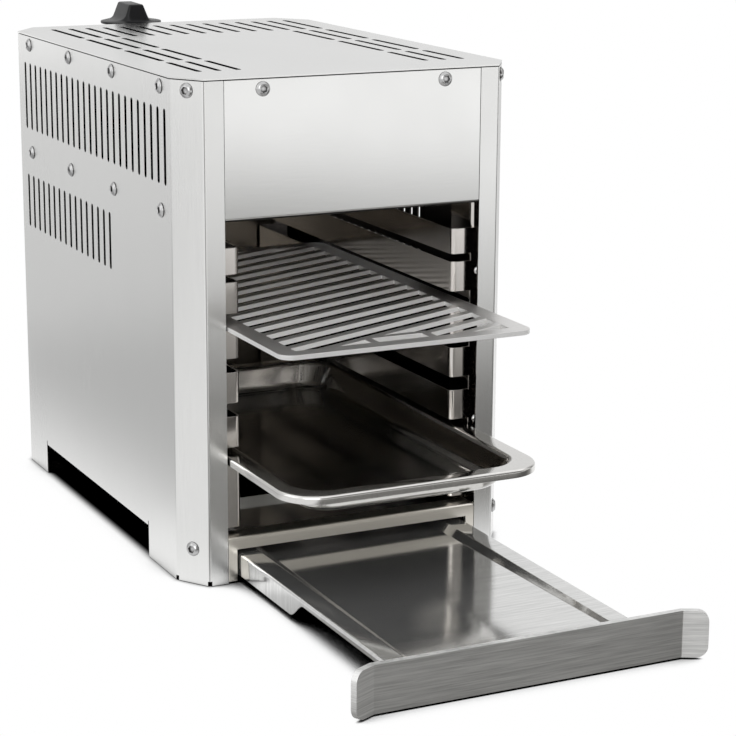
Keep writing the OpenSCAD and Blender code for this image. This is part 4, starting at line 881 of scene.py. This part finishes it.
class GrillRacks(bpy.types.Operator):
    """Slotted racks and the posts behind their flanges"""

    bl_idname = "grill.racks"
    bl_label = "Racks and posts"

    def execute(self, context):
        s, r = context.scene.grill_body, context.scene.grill_rack
        low, high = RACK
        line = fold_line([(low.x, low.y), (high.x, low.y), (high.x, high.y), (low.x, high.y)], r.bend)
        notch = -r.slot_end - low.x
        ends = [notch, line[0][-1] - notch]
        z = r.slot_z + np.arange(r.levels) * r.pitch
        tall = np.array([r.slot] * (r.levels - 1) + [r.top_slot])
        cuts = [(*ends, a, a + h) for a, h in zip(z, tall)]
        v = np.concatenate([[low.z, high.z], z, z + tall])
        rack = folded_sheet(line, v, s.sheet, "xyz", cuts, None, ends)
        both_sides("rack_sheet", "rack", [rack], finish_of("rack_steel"), s.soft)

        low, high = POST
        y = RACK[0].y + s.sheet + s.lap
        line = fold_line([(high.x, high.y), (high.x, y), (RACK[0].x, y), (RACK[0].x, low.y)],
                         (r.post_bend, r.post_bend - s.sheet))
        post = folded_sheet(line, [low.z, high.z], -s.sheet, "xyz")
        both_sides("post_sheet", "post", [post], finish_of("rack_steel"), s.soft)
        return {"FINISHED"}


class GrillGrate(bpy.types.Operator):
    """Grate plate with slanted bars and softened edges"""

    bl_idname = "grill.grate"
    bl_label = "Grate"

    def execute(self, context):
        soft = context.scene.grill_tray.grate_soft
        softened("grate", "grate", finish_of("grate_steel"), soft, "grate_plate")
        return {"FINISHED"}


class GrillTrayMake(bpy.types.Operator):
    """Drawn tray with rolled rim.

    Each point of the wall's section runs on a ring at its inset from the rim: straight sides and four corners,
    mid + (half - inset - radius) signs + radius (cos a, sin a).
    """

    bl_idname = "grill.tray"
    bl_label = "Tray"

    def execute(self, context):
        t = context.scene.grill_tray
        low, high = TRAY
        foot = t.rim + t.slope
        _, p, n = fold_line([(0, high.z - t.roll), (0, high.z), (t.rim, high.z), (foot, low.z + t.sheet),
                             (foot + t.sole, low.z + t.sheet)], (t.edge, t.throat, t.sole), 8)
        skin = np.vstack([p, (p - t.sheet * n)[::-1]])
        mid, size = (low + high) / 2, (high - low) / 2
        turn, sx, sy = corner_angles(21)
        inset = skin[:, :1]
        radius = t.corner + (t.inner - t.corner) * np.clip(inset / foot, 0, 1)
        x = mid.x + sx * (size.x - inset - radius) + radius * np.cos(turn)
        y = mid.y + sy * (size.y - inset - radius) + radius * np.sin(turn)
        stack = np.stack([x, y, np.broadcast_to(skin[:, 1:], x.shape)], axis=-1)
        m, k = stack.shape[:2]
        points, quads, _ = rings(stack, closed_ends=False)
        half = len(p)
        floor, last = (half - 1) * k, (m - 1) * k
        quads = quads[(np.arange(len(quads)) // k) != half - 1]
        seam = np.arange(k)
        after = np.roll(seam, -1)
        edge = np.column_stack([after, seam, last + seam, last + after])
        centre = np.array([[mid.x, mid.y, stack[half - 1, 0, 2]], [mid.x, mid.y, stack[half, 0, 2]]])
        c = len(points)
        caps = np.vstack([np.column_stack([floor + seam, floor + after, np.full(k, c)]),
                          np.column_stack([floor + k + after, floor + k + seam, np.full(k, c + 1)])])
        part = np.vstack([points, centre]), np.vstack([quads, edge]), caps
        piece_of("tray_shell", [part], "tray", ["tray"], finish_of("tray_steel"), t.soft)
        return {"FINISHED"}


class GrillDrawer(bpy.types.Operator):
    """Drip drawer with sloping floor, and its bent handle.

    The drawer's section, lip, flange, sloping side and floor, is swept along the depth; its floor sinks evenly
    and its lips grow on a ramp by q q (3 - 2 q). The handle's ends are quarter circles, r - sqrt(r r - (r - u)^2).
    """

    bl_idname = "grill.drawer"
    bl_label = "Drawer and handle"

    def execute(self, context):
        t, h = context.scene.grill_tray, context.scene.grill_handle
        low, high = PAN
        inner = high.x - t.pan_flange

        def profile(y):
            """Sheet section at a station."""
            along = (y - low.y) / (high.y - low.y)
            floor = high.z - t.pan_front - along * (t.pan_rear - t.pan_front)
            ramp = np.clip((y - low.y - t.lip_step) / t.lip_ramp, 0, 1)
            foot = high.z - t.lip_short - (high.z - t.lip_short - low.z) * ramp * ramp * (3 - 2 * ramp)
            left = [(-high.x, foot), (-high.x, high.z), (-inner, high.z),
                    (t.pan_slope * (high.z - floor) - inner, floor)]
            return fold_line(left + [(-x, z) for x, z in left[::-1]], t.pan_bend, 5)

        y = np.concatenate([[low.y], low.y + t.lip_step + np.linspace(0, t.lip_ramp, 9), [high.y]])
        sections = [profile(station) for station in y]
        p, n = (np.stack([s[k] for s in sections], axis=1) for k in (1, 2))
        quads = grid_faces(len(p), len(y)).reshape(-1, 4)
        along = np.tile(y, len(p))
        outer, back = (carried(q.reshape(-1, 2), along, "xzy") for q in (p, p - t.pan_sheet * n))
        sheet = walled(outer, back, quads, NO_TRIANGLES)
        plate = slab((-inner, low.y, high.z - t.plate), (inner, low.y + t.pan_sheet, high.z - t.plate_gap))
        rear = slab((-inner, high.y - t.pan_sheet, high.z - t.pan_rear - t.pan_sheet / 2), (inner, high.y, high.z))
        piece_of("drawer_sheet", [sheet, plate, rear], "drawer", ["drawer_pan"], finish_of("drawer_steel"),
                 t.soft)

        low, high = HANDLE
        y = high.y - h.thick
        line = fold_line([(high.x, y - h.wing), (h.half, y), (-h.half, y), (-high.x, y - h.wing)], h.bend)
        total = line[0][-1]
        round_u = h.corner * (1 - np.cos(np.linspace(0, QUARTER, 9)))
        uv, quads, tris = flat_pattern(lines_of(line[0], round_u, total - round_u), [0, 0.5, 1])
        near = np.minimum(np.minimum(uv[:, 0], total - uv[:, 0]), h.corner)
        cut = h.corner - np.sqrt(np.maximum(h.corner ** 2 - (h.corner - near) ** 2, 0))
        z = low.z + cut + uv[:, 1] * (high.z - low.z - 2 * cut)
        p, n = on_line(line, uv[:, 0])
        part = walled(carried(p, z, "xyz"), carried(p - h.thick * n, z, "xyz"), quads, tris)
        piece_of("handle_bar", [part], "drawer", ["handle_plate"], finish_of("handle_steel"), h.soft)
        return {"FINISHED"}


class GrillKnob(bpy.types.Operator):
    """Moulded control knob: round skirt with a lofted grip of rounded rectangles"""

    bl_idname = "grill.knob"
    bl_label = "Knob"

    def execute(self, context):
        h = context.scene.grill_handle
        low, high = KNOB
        mid = (low + high) / 2
        r = (high.x - low.x) / 2
        turn, sx, sy = corner_angles(17)

        def ring(half_l, half_w, corner, z):
            return np.column_stack([sx * (half_l - corner) + corner * np.cos(turn),
                                    sy * (half_w - corner) + corner * np.sin(turn), np.full(len(turn), z)])

        z0, z1, soft = low.z, low.z + h.skirt, h.rim
        stack = [ring(d, d, d, z) for d, z in (
            (h.bore, z0), (r - soft, z0), (r - 0.2 * soft, z0 + 0.3 * soft), (r, z0 + soft), (r, z1 - 2 * soft),
            (r - 0.2 * soft, z1 - 1.3 * soft), (r - soft, z1 - soft))]
        stack += [ring(h.grip_l / 2 * l, h.grip_w / 2 * w, corner * MM, z1 + rise * (high.z - z1))
                  for rise, l, w, corner in GRIP_ROWS]
        stack = np.array(stack)
        c, s = math.cos(h.grip_angle), math.sin(h.grip_angle)
        x = mid.x + c * stack[..., 0] - s * stack[..., 1]
        y = mid.y + s * stack[..., 0] + c * stack[..., 1]
        part = rings(np.stack([x, y, stack[..., 2]], axis=-1))
        piece_of("knob", [part], "knob", ["control_knob"], finish_of("knob_plastic"), 0, 50)
        return {"FINISHED"}


def button_head(d, head, tall, shank, key, pitch, k=36):
    """Round-head screw at the origin, head up: dome rings, a hexagon socket and a threaded shank.

    The dome is part of a ball of radius (head^2 / 4 + tall^2) / (2 tall); the hexagon's radius is
    key / 2 over the cosine of the angle to its nearest flat. All sizes in metres.
    """
    ball = (head * head / 4 + tall * tall) / (2 * tall)
    a = round_angles(k)
    hexagon = (key / 2) / np.cos((a + math.pi / 6) % (math.pi / 3) - math.pi / 6)
    sweep = np.linspace(math.asin(head / 2 / ball), math.asin(min(0.98, key * 0.68 / ball)), 8)
    dome = np.column_stack([ball * np.sin(sweep), tall - ball + ball * np.cos(sweep)])
    thread = np.arange(int(shank / pitch)) * pitch
    screw = np.column_stack([np.tile([d / 2, d / 2 * 0.88], len(thread)),
                             -np.ravel(np.column_stack([thread + pitch / 4, thread + pitch * 3 / 4]))])
    profile = np.vstack([[(d / 2 * 0.7, -shank)], screw[::-1],
                         [(d / 2, 0), (head / 2 * 0.96, 0), (head / 2, 0.12 * tall)], dome[1:]])
    circle = np.column_stack([np.cos(a), np.sin(a)])
    stack = [np.column_stack([radius * circle, np.full(k, z)]) for radius, z in profile]
    top = dome[-1, 1]
    stack += [np.column_stack([circle * hexagon[:, None] * f, np.full(k, z)]) for f, z in (
        (1.06, top - 0.02 * tall), (1.0, top - 0.1 * tall), (1.0, 0.2 * tall), (0.5, 0.15 * tall))]
    return rings(np.array(stack))


def spot(place, axis, turn=0.0):
    """4 by 4 place whose Z runs along an axis."""
    m = Vector(axis).to_track_quat("Z", "Y").to_matrix().to_4x4() @ Matrix.Rotation(turn, 4, "Z")
    m.translation = Vector(place)
    return np.array(m)


class GrillScrews(bpy.types.Operator):
    """Round-head screws of the panels, racks, bracket and handle"""

    bl_idname = "grill.screws"
    bl_label = "Screws"

    def execute(self, context):
        s, g = context.scene.grill_body, context.scene.grill_fixings
        finish = finish_of("screw_steel")

        def screw_set(kind, body, sizes, spots):
            """Screws of one kind; sizes are shank and head diameter, head height, shank length and key in mm."""
            head = button_head(*[size * MM for size in sizes], g.pitch)
            piece_of(f"{kind}_screw_set", [placed(head, spots)], body, [f"{kind}_screws"], finish, 0,
                     44)

        upper = TOP - g.upper
        y = FRONT + g.first + np.arange(4) * (REAR - FRONT - g.first - s.rear_y - g.rear) / 3
        spots = [spot((side * HALF, yy, z), (side, 0, 0), 0.3 + 0.7 * i)
                 for side in (-1, 1) for z in (upper, TOP - g.lower) for i, yy in enumerate(y)]
        spots += [spot((side * (HALF - s.front_x / 2), FRONT + s.front_y / 2, z),
                       (side * s.front_y, -s.front_x, 0), 0.4) for side in (-1, 1) for z in (upper, g.foot)]
        spots += [spot((side * g.fascia, FRONT, upper), (0, -1, 0), 0.2 + 0.3 * side) for side in (-1, 1)]
        screw_set("panel", "housing", (5, 9.5, 2.75, 10, 4.2), spots)

        low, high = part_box("rack_screws")
        r = 3 * MM
        screw_set("rack", "housing", (3, 6, 1.8, 7, 2.6), [
            spot((x, RACK[0].y, z), (0, -1, 0), 0.5)
            for x in (low.x + r, high.x - r) for z in (low.z + r, high.z - r)])
        low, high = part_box("bracket_screws")
        screw_set("bracket", "housing", (3, 6, 1.8, 6, 2), [
            spot((x, high.y - 1.8 * MM, (low.z + high.z) / 2), (0, 1, 0), 0.2) for x in (low.x + r, high.x - r)])
        low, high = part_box("handle_screws")
        r, tall = 3.5 * MM, 2.2
        screw_set("handle", "drawer", (4, 7, tall, (high.y - low.y) / MM - tall, 2.5), [
            spot((x, high.y - tall * MM, (low.z + high.z) / 2), (0, 1, 0), 0.2) for x in (low.x + r, high.x - r)])
        for node in ("panel_nuts", "rack_nuts"):
            softened(node, "housing", finish, g.nut)
        return {"FINISHED"}


class GrillGas(bpy.types.Operator):
    """Gas pipe, flame sensor and ignition lead as bent rods"""

    bl_idname = "grill.gas"
    bl_label = "Gas line"

    def execute(self, context):
        g = context.scene.grill_fixings
        low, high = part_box("gas_pipe")
        r = (high.x - low.x) / 2
        x, y, z = low.x + r, high.y - r, low.z + r
        part = tube([(x, low.y, z), (x, y, z), (x, y, high.z)], r, g.pipe, 28)
        piece_of("gas_pipe_bend", [part], "housing", ["gas_pipe"], finish_of("copper_metal"), 0)

        low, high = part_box("thermocouple")
        r = g.rod
        x, y, z = low.x + r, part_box("burner_housing")[1].y + g.rise, low.z + r
        part = tube([(high.x, high.y - r, high.z - r), (x, high.y - r, high.z - r), (x, y, high.z - r), (x, y, z),
                     (x, low.y, z)], r, g.sensor)
        piece_of("thermocouple_bend", [part], "housing", ["thermocouple"], finish_of("copper_metal"), 0)

        low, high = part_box("ignition_lead")
        x, y0, y1, z = high.x - r, low.y + r, high.y - r, high.z - r
        part = tube([(low.x, y1, z), (x, y1, z), (x, y0, z), (x, y0, low.z)], r, g.lead)
        piece_of("ignition_lead_bend", [part], "housing", ["ignition_lead"], finish_of("lead_rubber"),
                 0)
        return {"FINISHED"}


class GrillInside(bpy.types.Operator):
    """Inner sheets, burner, valve and fittings with softened edges"""

    bl_idname = "grill.inside"
    bl_label = "Inner pieces"

    def execute(self, context):
        s = context.scene.grill_body
        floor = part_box("left_runner")[0].z + s.sheet
        drop = floor - PAN[0].z + context.scene.grill_tray.lip_gap

        def lowered(p):
            """Runner points with its floor brought down to the drawer's lips."""
            return p - np.where(p[:, 2:] < floor + s.sheet / 2, drop, 0) * np.array([0, 0, 1])

        for node in ("left_runner", "right_runner"):
            softened(node, "housing", finish_of("heated_steel"), s.soft, moved=lowered)
        heated, plain, brass, tile = "inner_steel", "stainless", "brass", "tile"
        for node, body, finish, slot, soft in (
                ("rear_panel", "housing", "satin_steel", plain, s.soft),
                ("cavity_rear_wall", "housing", "heated_steel", heated, s.soft),
                ("left_burner_bracket", "housing", "heated_steel", heated, s.soft),
                ("right_burner_bracket", "housing", "heated_steel", heated, s.soft),
                ("burner_housing", "housing", "heated_steel", heated, s.soft),
                ("mixing_tube", "housing", "screw_steel", plain, s.soft),
                ("valve_bracket", "housing", "frame_steel", plain, s.soft),
                ("electrode_clip", "housing", "screw_steel", plain, s.soft),
                ("gas_jet", "housing", "brass_metal", brass, 0.35 * MM),
                ("gas_valve", "housing", "brass_metal", brass, 0.35 * MM),
                ("valve_nut", "housing", "brass_metal", brass, 0.35 * MM),
                ("gas_inlet", "housing", "brass_metal", brass, 0.35 * MM),
                ("burner_tiles", "housing", "tile_ceramic", tile, 0.5 * MM),
                ("ignition_electrode", "housing", "fired_ceramic", tile, 0.2 * MM),
                ("valve_plug", "plug", "brass_metal", brass, 0.2 * MM),
                ("valve_stem", "knob", "screw_steel", plain, 0.2 * MM)):
            softened(node, body, finish_of(finish), soft)
        return {"FINISHED"}


class GrillStageMake(bpy.types.Operator):
    """Camera, pale floor, soft lamps and white surroundings"""

    bl_idname = "grill.stage"
    bl_label = "Studio"

    def execute(self, context):
        scene = context.scene
        g = scene.grill_stage
        scene.view_settings.view_transform = "Standard"

        data = bpy.data.cameras.new("camera")
        data.sensor_width = 36
        data.lens = g.lens
        data.clip_end = 30
        camera = bpy.data.objects.new("camera", data)
        flat = math.cos(g.pitch)
        ahead = Vector((math.sin(g.yaw) * flat, math.cos(g.yaw) * flat, math.sin(g.pitch)))
        right = Vector((math.cos(g.yaw), -math.sin(g.yaw), 0))
        up = right.cross(ahead)
        side = math.cos(g.roll) * right + math.sin(g.roll) * up
        top = math.cos(g.roll) * up - math.sin(g.roll) * right
        pose = Matrix((side, top, -ahead)).transposed().to_4x4()
        pose.translation = Vector(g.eye)
        camera.matrix_world = pose
        scene.collection.objects.link(camera)
        scene.camera = camera

        a = round_angles(96)
        reach = np.array([0.02, 0.3, 0.6, 1.0, 1.6, g.floor])[:, None]
        stack = np.stack([reach * np.cos(a), reach * np.sin(a), 0 * reach * a - 0.4 * MM], axis=-1)
        points, quads, tris = rings(stack)
        middle = stack[..., 0].size
        mesh = bpy.data.meshes.new("floor")
        mesh.from_pydata(points[:-1].tolist(), [], quads.tolist() + tris[tris[:, 2] == middle].tolist())
        floor = bpy.data.objects.new("floor", mesh)
        scene.collection.objects.link(floor)
        mesh.materials.append(floor_finish())

        for name, place, aim, size, power in (
                ("overhead", (-0.3, -0.3, 2.2), (0, 0, 0.1), (2.6, 2.6), g.key),
                ("left", (-2.2, 0.2, 1.2), (0, 0, 0.15), (1.6, 2.0), g.fill),
                ("right", (2.2, -0.6, 1.2), (0, 0, 0.15), (1.6, 2.0), g.fill)):
            lamp = bpy.data.lights.new(name, "AREA")
            lamp.shape = "RECTANGLE"
            lamp.size, lamp.size_y = size
            lamp.energy = power
            made = bpy.data.objects.new(name, lamp)
            made.location = place
            made.visible_glossy = name != "overhead"
            made.rotation_mode = "QUATERNION"
            made.rotation_quaternion = (Vector(aim) - Vector(place)).to_track_quat("-Z", "Y")
            scene.collection.objects.link(made)
        scene.world = studio_world()
        return {"FINISHED"}


def floor_finish():
    """Pale floor: white to the camera with a painted shadow under the object; to metal a grey card in front, pale
    elsewhere.
    """
    material = bpy.data.materials.new("pale_floor")
    material.use_nodes = True
    material.node_tree.nodes.clear()
    wire = Wiring(material.node_tree)
    # Painted shadow: ambient occlusion near the object and the depth under the body's outline darken the floor's
    # glow
    near = wire.put("AmbientOcclusion", samples=20, Distance=0.055, out="AO")
    under = wire.ease(skin_depth(wire), -4 * MM, 5 * MM, 1.0, 0.0)
    shade = wire.math("MULTIPLY", wire.ease(near, 0.3, 0.62), under)

    where = wire.place()
    x, y = wire.axis(where, "X"), wire.axis(where, "Y")
    middle, right, left = (graded(wire, y, [(FRONT - far, level) for far, level in stops], CARD_PEAK)
                           for stops in CARD_LEVELS)
    slope = wire.math("DIVIDE", wire.math("ADD", x, FAN_SIDE), wire.math("SUBTRACT", FRONT + FAN_DEPTH, y))
    ahead = wire.blend(wire.ease(slope, *FAN_SLOPES), middle, right)
    card = wire.blend(wire.ease(x, CARD_LEFT, CARD_MIDDLE), left, ahead)
    grey = wire.put("Emission", Color=card, Strength=wire.math("MULTIPLY", shade, CARD_PEAK))
    cloth = wire.put("BsdfDiffuse", Color=(0.8, 0.8, 0.8, 1))
    white = wire.put("Emission", Strength=shade)
    wire.put("OutputMaterial", Surface=wire.shown(cloth, grey, white))
    return material


def studio_world():
    """White to the camera; to metal a room with a soft box front left, dim in front and right, by direction."""
    world = bpy.data.worlds.new("studio")
    world.use_nodes = True
    world.node_tree.nodes.clear()
    wire = Wiring(world.node_tree)
    way = wire.place("Generated")
    x, y, z = (wire.axis(way, name) for name in "XYZ")
    turn = wire.math("ARCTAN2", x, wire.math("MULTIPLY", y, -1.0))
    room = graded(wire, turn, [(math.radians(a), level) for a, level in ROOM_LEVELS], ROOM_PEAK)
    ground, ceiling = (solid((level / ROOM_PEAK,) * 3) for level in (GROUND_LEVEL, CEILING_LEVEL))
    above = wire.blend(wire.ease(z, -0.02, 0.03), ground, room)
    glint = wire.put("Background", Color=wire.blend(wire.ease(z, 0.5, 0.8), above, ceiling), Strength=ROOM_PEAK)
    light, backdrop = (wire.put("Background", Color=(1, 1, 1, 1), Strength=level) for level in (ROOM_LIGHT, 1.0))
    wire.put("OutputWorld", Surface=wire.shown(light, glint, backdrop))
    return world


OPERATORS = (GrillSides, GrillLid, GrillFront, GrillRacks, GrillGrate, GrillTrayMake, GrillDrawer, GrillKnob,
             GrillScrews, GrillGas, GrillInside, GrillStageMake)
GROUPS = {"grill_body": GrillBody, "grill_vents": GrillVents, "grill_rack": GrillRack, "grill_tray": GrillTray,
          "grill_handle": GrillHandle, "grill_fixings": GrillFixings, "grill_finish": GrillFinish,
          "grill_stage": GrillStage}


class GrillPanel(bpy.types.Panel):
    """Sidebar list of the grill's pieces"""

    bl_idname = "VIEW3D_PT_grill"
    bl_label = "Grill"
    bl_space_type = "VIEW_3D"
    bl_region_type = "UI"
    bl_category = "Grill"

    def draw(self, context):
        for operator in OPERATORS:
            self.layout.operator(operator.bl_idname)
        for name, group in GROUPS.items():
            box = self.layout.box()
            box.label(text=group.__doc__)
            for key in group.__annotations__:
                box.prop(getattr(context.scene, name), key)


def register():
    """Registers the groups, operators and panel."""
    for name, group in GROUPS.items():
        bpy.utils.register_class(group)
        setattr(bpy.types.Scene, name, PointerProperty(type=group))
    for cls in OPERATORS + (GrillPanel,):
        bpy.utils.register_class(cls)


def unregister():
    """Takes the classes back out."""
    for cls in OPERATORS + (GrillPanel,):
        bpy.utils.unregister_class(cls)
    for name, group in GROUPS.items():
        delattr(bpy.types.Scene, name)
        bpy.utils.unregister_class(group)


def main():
    """Builds every piece and the studio."""
    register()
    for operator in OPERATORS:
        group, name = operator.bl_idname.split(".")
        getattr(getattr(bpy.ops, group), name)()


if __name__ == "__main__":
    main()
